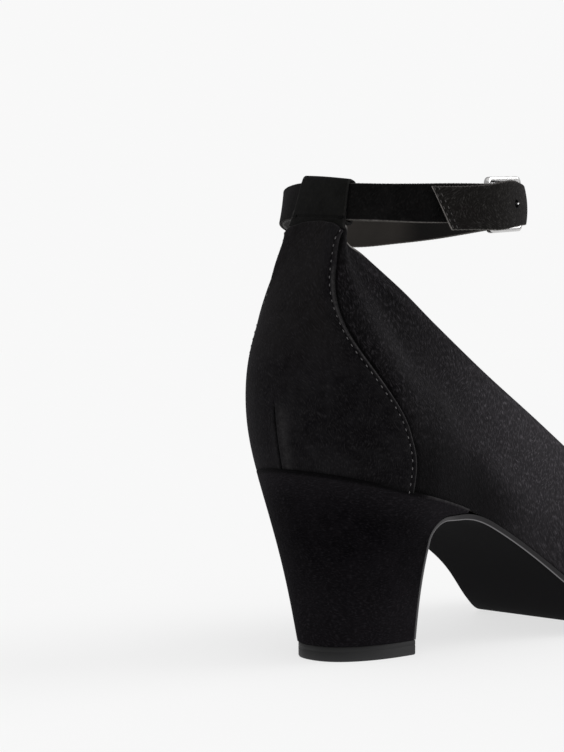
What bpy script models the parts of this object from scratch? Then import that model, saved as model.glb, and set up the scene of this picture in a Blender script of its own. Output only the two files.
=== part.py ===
"""Right-foot ankle-strap pump on a covered block heel.

Sizes are in millimetres.  Along the foot they are measured from the back of the last's seat, across it
from the seat's middle line, and upwards from the floor.  +X runs to the toe, +Y to the inner side of the
foot and +Z up.  The origin is the middle of the heel's floor face.
"""
import math
from collections import namedtuple

import bmesh
import bpy
import numpy as np

MM = 0.001
CREASE_ANGLE = 40.0     # edges sharper than this are shaded as edges
UP = np.array((0.0, 0.0, 1.0))

# Driving sizes of the last and the shoe
LAST_LENGTH = 234.0
BALL_WIDTH = 74.0
HEEL_HEIGHT = 61.5      # floor to the back of the seat
TAB_HEIGHT = 140.0      # floor to the top of the back tab
THROAT_HEIGHT = 43.2    # floor to the middle of the throat
TOE_SWING = 7.0         # how far the toe turns to the inner side
TOE_SPRING = 9.0
HEEL_CENTRE = 27.1      # seat back to the middle of the heel's floor face

# Walls and clearances
GAP = 0.3
WALL = 1.6
COUNTER_WALL = 1.0
INSOLE_THICK = 1.9
INSOLE_PLAY = 0.35      # room between the insole's edge and the upper
SOLE_THICK = 2.7
SHANK_THICK = 2.5
FLAP_THICK = 1.0        # the sole where it runs down the breast

# Bottom line of the last, seen from the side
SEAT_END = 43.0
SEAT_FALL = 0.2435      # drop of the seat per millimetre forward
SHANK_REACH = 50.0      # length of the curve's handle at the seat
BALL_REACH = 19.0       # and at the ball
TREAD_START = 139.0
TREAD_END = 166.0
SHANK_FADE = 50.0       # length over which the sole thins from the ball to the shank

# A row for each section from the back to the toe.  along and top_along are shares of the last's length,
# outer, inner and top_half of the ball width, top_rise of the height from throat to tab.  flare leans the
# wall out at the sole, arch adds to it on the inner side, tilt leans it in at the top, all in degrees;
# rise and run are how far those two directions hold.
Section = namedtuple("Section", "along outer inner top_along top_half top_rise flare arch rise tilt run")
SECTIONS = (
    Section(0.000, 0.000, 0.000, 0.0590, 0.000, 1.000, 14, 0, 38, 21, 33),
    Section(0.035, 0.262, 0.258, 0.0591, 0.083, 1.000, 16, 0, 39, 23, 34),
    Section(0.075, 0.345, 0.340, 0.0590, 0.141, 0.995, 18, 0, 39, 25, 36),
    Section(0.105, 0.374, 0.368, 0.0570, 0.140, 0.940, 18, 0, 38, 25, 36),
    Section(0.140, 0.389, 0.376, 0.0835, 0.169, 0.891, 17, 0, 36, 22, 34),
    Section(0.175, 0.388, 0.366, 0.130, 0.249, 0.784, 15, 1, 32, 17, 30),
    Section(0.231, 0.372, 0.328, 0.177, 0.312, 0.671, 13, 5, 26, 13, 25),
    Section(0.317, 0.362, 0.277, 0.257, 0.364, 0.517, 14, 10, 20, 11, 20),
    Section(0.419, 0.382, 0.259, 0.364, 0.396, 0.345, 14, 11, 18, 13, 18),
    Section(0.526, 0.450, 0.358, 0.479, 0.408, 0.170, 13, 5, 17, 24, 19),
    Section(0.624, 0.514, 0.459, 0.586, 0.368, 0.057, 12, 0, 16, 45, 18),
    Section(0.723, 0.504, 0.486, 0.659, 0.262, 0.010, 10, 0, 14, 60, 20),
    Section(0.825, 0.419, 0.412, 0.695, 0.142, 0.000, 10, 0, 13, 66, 24),
    Section(0.924, 0.250, 0.257, 0.708, 0.061, 0.000, 10, 0, 12, 70, 32),
    Section(0.970, 0.142, 0.149, 0.7095, 0.027, 0.000, 10, 0, 12, 71, 37),
    Section(1.000, 0.000, 0.000, 0.710, 0.000, 0.000, 10, 0, 12, 71, 40),
)
FEATHER_SPREAD = 0.2    # how far to either side the feather line's direction is taken
TOPLINE_SPREAD = 8.0    # and the topline's, wide enough to pass over the tab's corners
STEPS = 4               # columns of faces from one section to the next
ROWS = 12               # rows of faces up the wall

# Counter: its reach from the middle of the back, round the loop, at shares of the wall's height
Edge = namedtuple("Edge", "share reach")
COUNTER_EDGE = (
    Edge(0.00, 28.4),
    Edge(0.10, 27.9),
    Edge(0.20, 26.3),
    Edge(0.32, 24.4),
    Edge(0.42, 22.9),
    Edge(0.50, 21.8),
    Edge(0.58, 20.9),
    Edge(0.66, 20.6),
    Edge(0.78, 21.1),
    Edge(0.90, 22.1),
    Edge(1.00, 22.2),
)
COUNTER_GAP = 0.45
COUNTER_FOOT = 0.012    # share of the wall left free under the counter
COUNTER_COLUMNS = 22

# Heel block, its floor face and the top piece under it
WING_END = 54.0         # how far the block's lips reach forward under the seat
HEEL_OVERHANG = 3.2     # block outside the last at the back
WING_OVERHANG = 1.9     # and at the lips
BREAST_START = 62.0     # where the sole leaves the last to turn down the breast
ARCH_RADIUS = 20.0      # easy curve in which it leaves the last
SHELF_LENGTH = 8.6      # nearly level run over the breast
SHELF_DROP = 3.0        # degrees
BREAST_RADIUS = 7.0
BREAST_SLANT = 5.0      # degrees
BREAST_JOIN = 1.5       # sole sections start this far in front of the turn
FLOOR_BACK = 9.5
FLOOR_HALF = 16.9
FLOOR_ROUND = 0.85      # below 1 the floor face is squarer than an ellipse
HEEL_HOLLOW = 0.11      # how far the block's sides bow in
TOP_PIECE = 5.0
TOP_PIECE_INSET = 0.8
TOP_PIECE_STEP = 0.6    # its front stands this far behind the sole's flap
HEEL_POINTS = 31        # points round the heel's outline
BREAST_POINTS = 6       # and across its breast

# Ankle strap: an oval ring that runs through the back loop
STRAP_WIDTH = 12.4
STRAP_THICK = 1.8
TAIL_WIDTH = 13.7       # the tail is cut a little wider
TAIL_WIDENS = -215.0    # degrees on the ring where that starts
TAIL_FADE = 35.0
RING_LONG = 34.6        # half the oval along the foot
RING_WIDE = 43.5        # and across it
RING_BACK = 15.7
RING_SHIFT = -1.0
LOOP_LEAN = 16.0        # degrees that the loop and the strap in it lean forward
LOOP_HEIGHT = 147.9     # floor to the middle of the loop
LOOP_HALF = 11.3
LOOP_TAPER = 0.07       # loss of half width from the loop's middle to its top
LOOP_WALL = 0.9
SLOT_PLAY = 0.5         # free room round the strap in the loop
SLOT_ROUND = 0.35       # near 0 the slot's corners are square

# Buckle
BAR_RADIUS = 0.95
REAR_BAR = 82.0         # place of the bars on the ring, degrees from the back towards the outer side
FRONT_BAR = 116.0
FRAME_HALF = 8.0        # middle of the frame to the middle of its top bar
FRAME_TILT = 5.0        # degrees that its front end stands higher
FRAME_RISE = 0.6        # how far its middle lies over the fold's
FRAME_SLACK = 0.4       # how far its rear bar lies back from the strap's fold
PRONG_RADIUS = 0.6
HOLE_RADIUS = 1.3
HOLE_ANGLE = 95.0
TAIL_ANGLE = -304.6     # place of the tail's end
TAIL_SLANT = 4.4        # degrees that its upper corner reaches further, and its lower one less
FRAME_CORNER = 1.6
PRONG_ROOT = 6.8        # degrees from the rear bar to the prong's start
PRONG_BEND = 1.3        # degrees before the hole where it turns out
PRONG_OUT = 0.4         # how far outside the ring it lies until then
FOLD = BAR_RADIUS + GAP + STRAP_THICK / 2
FOLD_LEAD = 2.0         # degrees before the rear bar where the strap starts to fold
STRAP_STEPS = 106
LEAN_END = 62.0         # place on the ring where the strap stands upright again
LEAN_FADE = 38.0        # and the stretch over which its lean dies away

# Strap route: place on the ring in degrees, how far outside the ring, height of the strap's middle
Route = namedtuple("Route", "angle out height")
ROUTE = (
    Route(80.0, FOLD, 146.0),
    Route(62.0, 0.9, 145.9),
    Route(46.0, 0.0, 146.0),
    Route(18.0, 0.0, LOOP_HEIGHT - 0.3),
    Route(0.0, 0.0, LOOP_HEIGHT),
    Route(-18.0, 0.0, LOOP_HEIGHT),
    Route(-60.0, 0.0, 147.2),
    Route(-90.0, 0.0, 144.6),
    Route(-120.0, 0.0, 142.6),
    Route(-145.0, 0.0, 144.0),
    Route(-165.0, 0.1, 145.3),
    Route(-178.0, 0.2, 146.3),
    Route(-195.0, 0.5, 147.3),
    Route(-225.0, 1.0, 147.3),
    Route(-240.0, 2.1, 147.3),
    Route(-249.0, 2.9, 147.2),
    Route(-264.0, 3.7, 146.7),
    Route(-282.0, 4.7, 145.0),
    Route(-300.0, 3.4, 144.5),
    Route(-318.0, 2.3, 144.8),
)
FOLD_END = 63.0         # where the turned-in end of the strap stops

SUEDE = (0.006, 0.0055, 0.0065)
HEEL_SUEDE = (0.004, 0.0035, 0.0045)
LINING = (0.11, 0.10, 0.085)
SOLE_GREY = (0.035, 0.035, 0.037)
RUBBER = (0.02, 0.02, 0.021)
SILVER = (0.62, 0.61, 0.6)


def clear_scene():
    for thing in list(bpy.data.objects):
        bpy.data.objects.remove(thing, do_unlink=True)


def new_collection(name):
    collection = bpy.data.collections.new(name)
    bpy.context.scene.collection.children.link(collection)
    return collection


def finish_material(name, colour, roughness, metallic=0.0):
    material = bpy.data.materials.new(name)
    material.use_nodes = True
    shader = material.node_tree.nodes["Principled BSDF"]
    shader.inputs["Base Color"].default_value = (*colour, 1.0)
    shader.inputs["Roughness"].default_value = roughness
    shader.inputs["Metallic"].default_value = metallic
    return material


def to_frame(points):
    """Millimetres from the seat's back to metres from the heel's floor face."""
    shift = np.array((HEEL_CENTRE, 0.0, 0.0))
    return (np.asarray(points, float) - shift) * MM


def add_object(name, data, material, collection):
    data.materials.append(material)
    thing = bpy.data.objects.new(name, data)
    collection.objects.link(thing)
    return thing


def grid_mesh(name, points, closed):
    """A surface through a grid of points, joined up along its first direction where it is closed."""
    columns, rows = points.shape[:2]
    spans = columns if closed else columns - 1
    faces = []
    for i in range(spans):
        k = (i + 1) % columns
        for j in range(rows - 1):
            faces.append((i * rows + j, k * rows + j, k * rows + j + 1, i * rows + j + 1))
    mesh = bpy.data.meshes.new(name)
    mesh.from_pydata(to_frame(points.reshape(-1, 3)).tolist(), [], faces)
    mesh.shade_smooth()
    return mesh


def stacked_mesh(name, rings):
    """A closed body through a stack of like rings, with its first and last ring filled."""
    rings = np.asarray(rings, float)
    levels, count = rings.shape[:2]
    faces = [tuple(range(count)), tuple(reversed(range((levels - 1) * count, levels * count)))]
    for i in range(levels - 1):
        for j in range(count):
            k = (j + 1) % count
            faces.append((i * count + k, i * count + j, (i + 1) * count + j, (i + 1) * count + k))
    mesh = bpy.data.meshes.new(name)
    mesh.from_pydata(to_frame(rings.reshape(-1, 3)).tolist(), [], faces)
    body = bmesh.new()
    body.from_mesh(mesh)
    bmesh.ops.recalc_face_normals(body, faces=body.faces)
    body.to_mesh(mesh)
    body.free()
    mesh.set_sharp_from_angle(angle=math.radians(CREASE_ANGLE))
    return mesh


def thicken(thing, thickness):
    shell = thing.modifiers.new("Wall", "SOLIDIFY")
    shell.thickness = thickness * MM
    shell.offset = 1.0
    shell.use_even_offset = True
    shell.use_quality_normals = True


def smooth_share(value):
    share = np.clip(value, 0.0, 1.0)
    return share * share * (3.0 - 2.0 * share)


def bezier(start, first, second, end, share):
    rest = 1.0 - share
    return (rest ** 3 * start + 3 * rest ** 2 * share * first
            + 3 * rest * share ** 2 * second + share ** 3 * end)


def bottom_line(along):
    """Height of the last's bottom over the floor: seat, shank, tread and toe spring."""
    tread = SOLE_THICK + GAP / 2
    seat_edge = HEEL_HEIGHT - SEAT_FALL * SEAT_END
    share = np.linspace(0.0, 1.0, 120)
    shank_x = bezier(SEAT_END, SEAT_END + SHANK_REACH, TREAD_START - BALL_REACH, TREAD_START, share)
    shank_z = bezier(seat_edge, seat_edge - SEAT_FALL * SHANK_REACH, tread, tread, share)
    toe = np.clip((along - TREAD_END) / (LAST_LENGTH - TREAD_END), 0.0, None)
    seat = HEEL_HEIGHT - SEAT_FALL * along
    shank = np.interp(along, shank_x, shank_z)
    return np.where(along < SEAT_END, seat, shank) + TOE_SPRING * toe ** 2


def bottom_slope(along):
    return (bottom_line(along + 0.5) - bottom_line(along - 0.5))


def middle_line(along):
    return TOE_SWING * smooth_share((along / LAST_LENGTH - 0.42) / 0.58)


def section_loop():
    """Foot point, top point and wall settings of each section, once round the shoe from the back."""
    rows = []
    outer_side = [(row, -1.0) for row in SECTIONS]
    inner_side = [(row, 1.0) for row in reversed(SECTIONS[1:-1])]
    for row, side in outer_side + inner_side:
        along = row.along * LAST_LENGTH
        top_along = row.top_along * LAST_LENGTH
        half = (row.outer if side < 0 else row.inner) * BALL_WIDTH
        flare = row.flare + (row.arch if side > 0 else 0.0)
        top_z = THROAT_HEIGHT + row.top_rise * (TAB_HEIGHT - THROAT_HEIGHT)
        rows.append((along, middle_line(along) + side * half, bottom_line(along),
                     top_along, middle_line(top_along) + side * row.top_half * BALL_WIDTH, top_z,
                     flare, row.rise, row.tilt, row.run))
    return np.array(rows, float)


def loop_knots(rows):
    """Running distance round the loop, halfway between that of the feather line and the topline."""
    nearby = np.roll(rows, -1, axis=0)
    feather = np.linalg.norm(nearby[:, :3] - rows[:, :3], axis=1)
    topline = np.linalg.norm(nearby[:, 3:6] - rows[:, 3:6], axis=1)
    return np.concatenate(([0.0], np.cumsum((feather + topline) / 2)))


LOOP = section_loop()
KNOTS = loop_knots(LOOP)


def round_loop(at):
    """Smooth values of the section rows at distances round the loop."""
    at = np.mod(at, KNOTS[-1])
    spans = np.diff(KNOTS)
    count = len(spans)
    ahead = np.roll(LOOP, -1, axis=0)
    steps = (ahead - LOOP) / spans[:, None]
    before = np.roll(steps, 1, axis=0)
    before_span = np.roll(spans, 1)
    slopes = (steps * before_span[:, None] + before * spans[:, None]) / (spans + before_span)[:, None]
    index = np.clip(np.searchsorted(KNOTS, at, side="right") - 1, 0, count - 1)
    span = spans[index][:, None]
    share = ((at - KNOTS[index]) / spans[index])[:, None]
    far = (index + 1) % count
    return ((2 * share ** 3 - 3 * share ** 2 + 1) * LOOP[index]
            + (share ** 3 - 2 * share ** 2 + share) * span * slopes[index]
            + (3 * share ** 2 - 2 * share ** 3) * LOOP[far]
            + (share ** 3 - share ** 2) * span * slopes[far])


def plan_normals(at, first, spread):
    """Level directions square to the loop's feather line (first 0) or topline (first 3), pointing out."""
    ahead = round_loop(at + spread)[:, first:first + 2]
    behind = round_loop(at - spread)[:, first:first + 2]
    run = ahead - behind
    run /= np.linalg.norm(run, axis=1)[:, None]
    return np.stack((run[:, 1], -run[:, 0], np.zeros(len(run))), axis=1)


def last_surface(at, shares):
    """Grid of points on the last: round the loop at distances, up the wall at shares."""
    rows = round_loop(at)
    foot, top = rows[:, :3], rows[:, 3:6]
    flare, rise, tilt, run = (rows[:, [i]] for i in range(6, 10))
    flare, tilt = np.radians(flare), np.radians(tilt)
    out = plan_normals(at, 0, FEATHER_SPREAD)
    start = np.sin(flare) * out + np.cos(flare) * UP
    rim = np.maximum(bottom_line(foot[:, 0]), bottom_line(foot[:, 0] + WALL * out[:, 0]))
    foot[:, 2] = rim + GAP / 2 + WALL * np.sin(flare[:, 0])
    finish = -np.sin(tilt) * plan_normals(at, 3, TOPLINE_SPREAD) + np.cos(tilt) * UP
    first, second = foot + rise * start, top - run * finish
    share = np.asarray(shares, float)[None, :, None]
    return bezier(foot[:, None], first[:, None], second[:, None], top[:, None], share)


def outward(at, shares):
    """Unit normals of the last at the same grid."""
    around = last_surface(at + 0.3, shares) - last_surface(at - 0.3, shares)
    step = 0.002
    upward = (last_surface(at, np.minimum(shares + step, 1.0))
              - last_surface(at, np.maximum(shares - step, 0.0)))
    normal = np.cross(around, upward)
    return normal / np.linalg.norm(normal, axis=2)[:, :, None]


def columns_between(first, last):
    """Distances round the loop from one section to another, STEPS to each interval."""
    places = [KNOTS[i] + (KNOTS[i + 1] - KNOTS[i]) * np.arange(STEPS) / STEPS for i in range(first, last)]
    return np.concatenate(places + [[KNOTS[last]]])


def build_upper(collection):
    at = columns_between(0, len(LOOP))[:-1]
    points = last_surface(at, np.linspace(0.0, 1.0, ROWS + 1))
    mesh = grid_mesh("upper", points, closed=True)
    upper = add_object("upper", mesh, finish_material("upper_suede", SUEDE, 0.95), collection)
    thicken(upper, WALL)


def build_counter(collection):
    shares = np.linspace(COUNTER_FOOT, 1.0, ROWS + 1)
    table = np.array(COUNTER_EDGE)
    reach = smooth_table(table[:, 0], table[:, 1:], shares)[:, 0]
    across = np.linspace(-1.0, 1.0, COUNTER_COLUMNS + 1)
    lift = WALL + COUNTER_GAP
    points = []
    for share, far in zip(shares, reach):
        level = np.array([share])
        line = last_surface(across * far, level) + lift * outward(across * far, level)
        points.append(line[:, 0])
    mesh = grid_mesh("back_counter", np.stack(points, axis=1), closed=False)
    counter = add_object("back_counter", mesh, finish_material("counter_suede", SUEDE, 0.95), collection)
    thicken(counter, COUNTER_WALL)


def edge_pairs(overhang, from_along):
    """Matching points of the feather line on the outer and inner side, from the back towards the toe."""
    outer_at = columns_between(0, len(SECTIONS) - 1)[1:-1]
    inner_at = columns_between(len(SECTIONS) - 1, len(LOOP))[1:-1][::-1]
    outer = round_loop(outer_at)[:, :3] + overhang * plan_normals(outer_at, 0, FEATHER_SPREAD)
    inner = round_loop(inner_at)[:, :3] + overhang * plan_normals(inner_at, 0, FEATHER_SPREAD)
    keep = np.minimum(outer[:, 0], inner[:, 0]) > from_along
    return outer[keep], inner[keep]


def strip_rings(outer, inner, outer_under, inner_under):
    """Sections of a strip, each from its upper face round to its lower one."""
    return np.stack((outer, inner, inner_under, outer_under), axis=1)


def build_insole(collection):
    outer, inner = edge_pairs(-INSOLE_PLAY, 0.0)
    for edge in (outer, inner):
        edge[:, 2] = bottom_line(edge[:, 0]) + GAP / 2
    thick = INSOLE_THICK * UP
    mesh = stacked_mesh("insole", strip_rings(outer + thick, inner + thick, outer, inner))
    add_object("insole", mesh, finish_material("insole_lining", LINING, 0.7), collection)


def breast_line(back_off, count):
    """Side view of the curve from the shank down the breast, back_off behind the sole's upper face."""
    slope = bottom_slope(BREAST_START)
    start = np.array((BREAST_START, bottom_line(BREAST_START) - GAP / 2))
    left = math.atan2(-slope, -1.0) + math.pi / 2
    level = math.pi / 2 + math.radians(SHELF_DROP)
    slant = math.radians(BREAST_SLANT)

    def arc(centre, radius, first, last, points):
        turns = np.linspace(first, last, points)
        return centre + (radius + back_off) * np.stack((np.cos(turns), np.sin(turns)), axis=1)

    easy = start + ARCH_RADIUS * np.array((math.cos(left), math.sin(left)))
    tight = easy + (ARCH_RADIUS - BREAST_RADIUS) * np.array((math.cos(level), math.sin(level)))
    tight = tight + SHELF_LENGTH * np.array((-math.sin(level), math.cos(level)))
    turned = np.concatenate((arc(easy, ARCH_RADIUS, left - math.pi, level, count // 2),
                             arc(tight, BREAST_RADIUS, level, math.pi + slant, count)))
    down = np.array((math.sin(slant), -math.cos(slant)))
    drop = turned[-1, 1] - (TOP_PIECE + GAP)
    straight = [turned[-1] + down * drop * share / -down[1] for share in (0.33, 0.66, 1.0)]
    return np.concatenate((turned, straight))


def bow(share):
    """How far the heel's sides have drawn in, from the seat down to the floor face."""
    return share + HEEL_HOLLOW * np.sin(math.pi * share)


def floor_outline(count, front, inset):
    """Heel outline at the floor, from its outer front corner round the back to the inner one."""
    turn = np.linspace(-math.pi / 2, math.pi / 2, count)
    length = front - FLOOR_BACK - inset
    x = front - length * np.cos(turn).clip(0.0) ** FLOOR_ROUND
    y = (FLOOR_HALF - inset) * np.sign(turn) * np.abs(np.sin(turn)) ** FLOOR_ROUND
    return x, y


def seat_outline(count):
    """Block outline under the seat, from its outer lip round the back to the inner one."""
    reach = np.linspace(0.0, 90.0, 400)
    outer_x = round_loop(reach)[:, 0]
    inner_x = round_loop(-reach)[:, 0]
    first = np.interp(WING_END, outer_x, reach)
    last = np.interp(WING_END, inner_x, reach)
    at = np.linspace(first, -last, count)
    foot = round_loop(at)[:, :3]
    share = smooth_share(foot[:, 0] / WING_END)
    overhang = HEEL_OVERHANG + (WING_OVERHANG - HEEL_OVERHANG) * share
    edge = foot + overhang[:, None] * plan_normals(at, 0, FEATHER_SPREAD)
    return edge[:, 0], edge[:, 1]


def heel_corner_half(height, side):
    """Half width of the block at its front corner, at a height over the floor."""
    x, y = seat_outline(HEEL_POINTS)
    seat_half = abs(y[0] if side < 0 else y[-1])
    top = bottom_line(x[0]) - GAP / 2
    share = np.clip((top - height) / (top - TOP_PIECE - GAP), 0.0, 1.0)
    return seat_half + (FLOOR_HALF - seat_half) * bow(share)


def build_heel(collection):
    seat_x, seat_y = seat_outline(HEEL_POINTS)
    floor_x, floor_y = floor_outline(HEEL_POINTS, breast_line(GAP, 2)[-1, 0], 0.0)
    seat_z = bottom_line(seat_x) - GAP / 2
    floor_z = TOP_PIECE + GAP
    front = breast_line(GAP, 10)
    front = front[front[:, 0] < seat_x[0]]
    front = np.concatenate(([(seat_x[0], seat_z[0])], front))
    front[-1, 1] = floor_z
    seat_share = (seat_x - seat_x.min()) / (seat_x[0] - seat_x.min())
    floor_share = (floor_x - floor_x.min()) / (floor_x[0] - floor_x.min())
    rings = []
    for front_x, front_z in front:
        down = (seat_z[0] - front_z) / (seat_z[0] - floor_z)
        inward = bow(down)
        back_x = seat_x.min() + (floor_x.min() - seat_x.min()) * inward
        share = seat_share + (floor_share - seat_share) * inward
        plain_x = seat_x[0] + (floor_x[0] - seat_x[0]) * inward
        x = back_x + (plain_x - back_x) * share - (plain_x - front_x) * share ** 3
        y = seat_y + (floor_y - seat_y) * inward
        z = seat_z + (floor_z - seat_z) * down
        arc = np.stack((x, y, z), axis=1)
        ends = np.linspace(arc[-1], arc[0], BREAST_POINTS)[1:-1]
        rings.append(np.concatenate((arc, ends)))
    mesh = stacked_mesh("heel_block", rings)
    add_object("heel_block", mesh, finish_material("heel_suede", HEEL_SUEDE, 0.95), collection)


def build_top_piece(collection):
    front = breast_line(-FLAP_THICK, 2)[-1, 0] - TOP_PIECE_STEP
    x, y = floor_outline(HEEL_POINTS, front, TOP_PIECE_INSET)
    level = np.stack((x, y, np.zeros(len(x))), axis=1)
    mesh = stacked_mesh("top_piece", (level + TOP_PIECE * UP, level))
    add_object("top_piece", mesh, finish_material("top_rubber", RUBBER, 0.6), collection)


def build_outsole(collection):
    outer, inner = edge_pairs(WING_OVERHANG, BREAST_START + BREAST_JOIN)
    outer, inner = outer[::-1], inner[::-1]
    rings = []
    for edges in zip(outer, inner):
        upper_face, lower_face = [], []
        for x, y, _ in edges:
            slope = bottom_slope(x)
            shank = smooth_share((TREAD_START - x) / SHANK_FADE)
            thick = SOLE_THICK + (SHANK_THICK - SOLE_THICK) * shank
            under = thick * np.array((slope, 0.0, -1.0)) / math.hypot(slope, 1.0)
            point = np.array((x, y, bottom_line(x) - GAP / 2))
            upper_face.append(point)
            lower_face.append(point + under)
        rings.append((upper_face[0], upper_face[1], lower_face[1], lower_face[0]))
    upper_line = breast_line(0.0, 10)
    lower_line = breast_line(-SHANK_THICK, 10)
    thinning = smooth_share(np.arange(len(upper_line)) / (len(upper_line) - 4))[:, None]
    thin = 1.0 + (FLAP_THICK / SHANK_THICK - 1.0) * thinning
    lower_line = upper_line + (lower_line - upper_line) * thin
    lower_line[:, 1] = np.maximum(lower_line[:, 1], TOP_PIECE + GAP)
    for (x, z), (under_x, under_z) in zip(upper_line, lower_line):
        outer_y, inner_y = -heel_corner_half(z, -1), heel_corner_half(z, 1)
        rings.append(((x, outer_y, z), (x, inner_y, z),
                      (under_x, inner_y, under_z), (under_x, outer_y, under_z)))
    mesh = stacked_mesh("outsole", rings)
    add_object("outsole", mesh, finish_material("outsole_grey", SOLE_GREY, 0.5), collection)


def ring_frame(angle):
    """Point of the strap's oval and its level outward and forward directions."""
    turn = np.radians(angle)
    x = RING_BACK + RING_LONG * (1.0 - np.cos(turn))
    y = RING_SHIFT - RING_WIDE * np.sin(turn)
    run = np.stack((RING_LONG * np.sin(turn), -RING_WIDE * np.cos(turn)), axis=-1)
    run = run / np.linalg.norm(run, axis=-1, keepdims=True)
    point = np.stack((x, y), axis=-1)
    out = np.stack((run[..., 1], -run[..., 0]), axis=-1)
    return point, out, run


def route_values(angle):
    """Distance outside the ring and height of the strap along its route."""
    knots = np.array([row.angle for row in ROUTE])[::-1]
    shares = smooth_table(knots, np.array([(row.out, row.height) for row in ROUTE])[::-1], angle)
    return shares[:, 0], shares[:, 1]


def smooth_table(knots, values, at):
    """Smooth curve through the rows of an open table."""
    slopes = np.gradient(values, knots, axis=0)
    index = np.clip(np.searchsorted(knots, at, side="right") - 1, 0, len(knots) - 2)
    span = (knots[index + 1] - knots[index])[:, None]
    share = ((at - knots[index])[:, None]) / span
    return ((2 * share ** 3 - 3 * share ** 2 + 1) * values[index]
            + (share ** 3 - 2 * share ** 2 + share) * span * slopes[index]
            + (3 * share ** 2 - 2 * share ** 3) * values[index + 1]
            + (share ** 3 - share ** 2) * span * slopes[index + 1])


def strap_rail(end_angle, up_share):
    """One long edge line of the strap: the turned-in end, the fold round the rear bar, then the route."""
    inside = np.linspace(FOLD_END, REAR_BAR - FOLD_LEAD, 4)
    point, out, _ = ring_frame(inside)
    bar, bar_out, bar_run = ring_frame(np.array(REAR_BAR))
    half_turn = np.linspace(0.0, math.pi, 9)[:, None]
    turned_in = point - out * FOLD
    fold = bar + FOLD * (np.sin(half_turn) * bar_run - np.cos(half_turn) * bar_out)
    angle = np.linspace(REAR_BAR - FOLD_LEAD, end_angle, STRAP_STEPS)
    point, out, _ = ring_frame(angle)
    distance, height = route_values(angle)
    plan = np.concatenate((turned_in, fold, point + out * distance[:, None]))
    ahead = len(turned_in) + len(fold)
    heights = np.concatenate((np.full(ahead, ROUTE[0].height), height))
    lean = np.radians(LOOP_LEAN) * smooth_share((LEAN_END - np.abs(angle)) / LEAN_FADE)
    lean = np.concatenate((np.zeros(ahead), lean))
    run = np.gradient(plan, axis=0)
    run /= np.linalg.norm(run, axis=1)[:, None]
    face = np.stack((run[:, 1], -run[:, 0]), axis=1)
    wider = smooth_share((TAIL_WIDENS - angle) / TAIL_FADE) * (TAIL_WIDTH - STRAP_WIDTH)
    reach = up_share * (STRAP_WIDTH + np.concatenate((np.zeros(ahead), wider))) / 2
    level = plan + face * (reach * np.sin(lean))[:, None]
    middle = np.column_stack((level, heights + reach * np.cos(lean)))
    return middle, np.column_stack((face * np.cos(lean)[:, None], -np.sin(lean)))


def build_strap(collection, cutters):
    half = STRAP_THICK / 2
    upper, upper_face = strap_rail(TAIL_ANGLE - TAIL_SLANT, 1.0)
    lower, lower_face = strap_rail(TAIL_ANGLE + TAIL_SLANT, -1.0)
    rings = np.stack((upper + half * upper_face, upper - half * upper_face,
                      lower - half * lower_face, lower + half * lower_face), axis=1)
    mesh = stacked_mesh("ankle_strap", rings)
    strap = add_object("ankle_strap", mesh, finish_material("strap_suede", SUEDE, 0.95), collection)
    point, out, _ = ring_frame(np.array(HOLE_ANGLE))
    distance, height = route_values(np.array([HOLE_ANGLE - 360.0]))
    centre = np.append(point + out * distance[0], height[0])
    turn = (math.pi / 2, 0.0, math.atan2(out[1], out[0]) + math.pi / 2)
    bpy.ops.mesh.primitive_cylinder_add(vertices=12, radius=HOLE_RADIUS * MM, depth=4 * STRAP_THICK * MM,
                                        location=to_frame(centre), rotation=turn)
    cutter = bpy.context.active_object
    cutter.name = "prong_hole_cutter"
    for holder in list(cutter.users_collection):
        holder.objects.unlink(cutter)
    cutters.objects.link(cutter)
    cutter.hide_render = True
    cutter.display_type = "WIRE"
    cut = strap.modifiers.new("Prong hole", "BOOLEAN")
    cut.operation = "DIFFERENCE"
    cut.object = cutter


def build_loop(collection):
    """Flat sleeve at the top of the tab, open at both sides for the strap."""
    half_high = STRAP_WIDTH / 2 + SLOT_PLAY
    half_deep = STRAP_THICK / 2 + SLOT_PLAY
    turn = np.linspace(0.0, 2 * math.pi, 20, endpoint=False)
    high = half_high * np.sign(np.cos(turn)) * np.abs(np.cos(turn)) ** SLOT_ROUND
    deep = half_deep * np.sign(np.sin(turn)) * np.abs(np.sin(turn)) ** SLOT_ROUND
    lean = math.radians(LOOP_LEAN)
    bend = RING_LONG / RING_WIDE ** 2 / 2
    stations = np.linspace(-1.0, 1.0, 9)
    points = np.zeros((len(turn), len(stations), 3))
    for j, station in enumerate(stations):
        y = station * LOOP_HALF * (1.0 - LOOP_TAPER * high / half_high)
        hollow = bend * (y - RING_SHIFT) ** 2
        points[:, j, 0] = RING_BACK + hollow + high * math.sin(lean) + deep * math.cos(lean)
        points[:, j, 1] = y
        points[:, j, 2] = LOOP_HEIGHT + high * math.cos(lean) - deep * math.sin(lean)
    mesh = grid_mesh("back_loop", points, closed=True)
    loop = add_object("back_loop", mesh, finish_material("loop_suede", SUEDE, 0.95), collection)
    thicken(loop, LOOP_WALL)


def wire(name, points, radius, cyclic, material, collection):
    curve = bpy.data.curves.new(name, "CURVE")
    curve.dimensions = "3D"
    curve.bevel_depth = radius * MM
    curve.bevel_resolution = 2
    curve.use_fill_caps = not cyclic
    spline = curve.splines.new("POLY")
    spline.points.add(len(points) - 1)
    for target, point in zip(spline.points, to_frame(points)):
        target.co = (*point, 1.0)
    spline.use_cyclic_u = cyclic
    return add_object(name, curve, material, collection)


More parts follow.
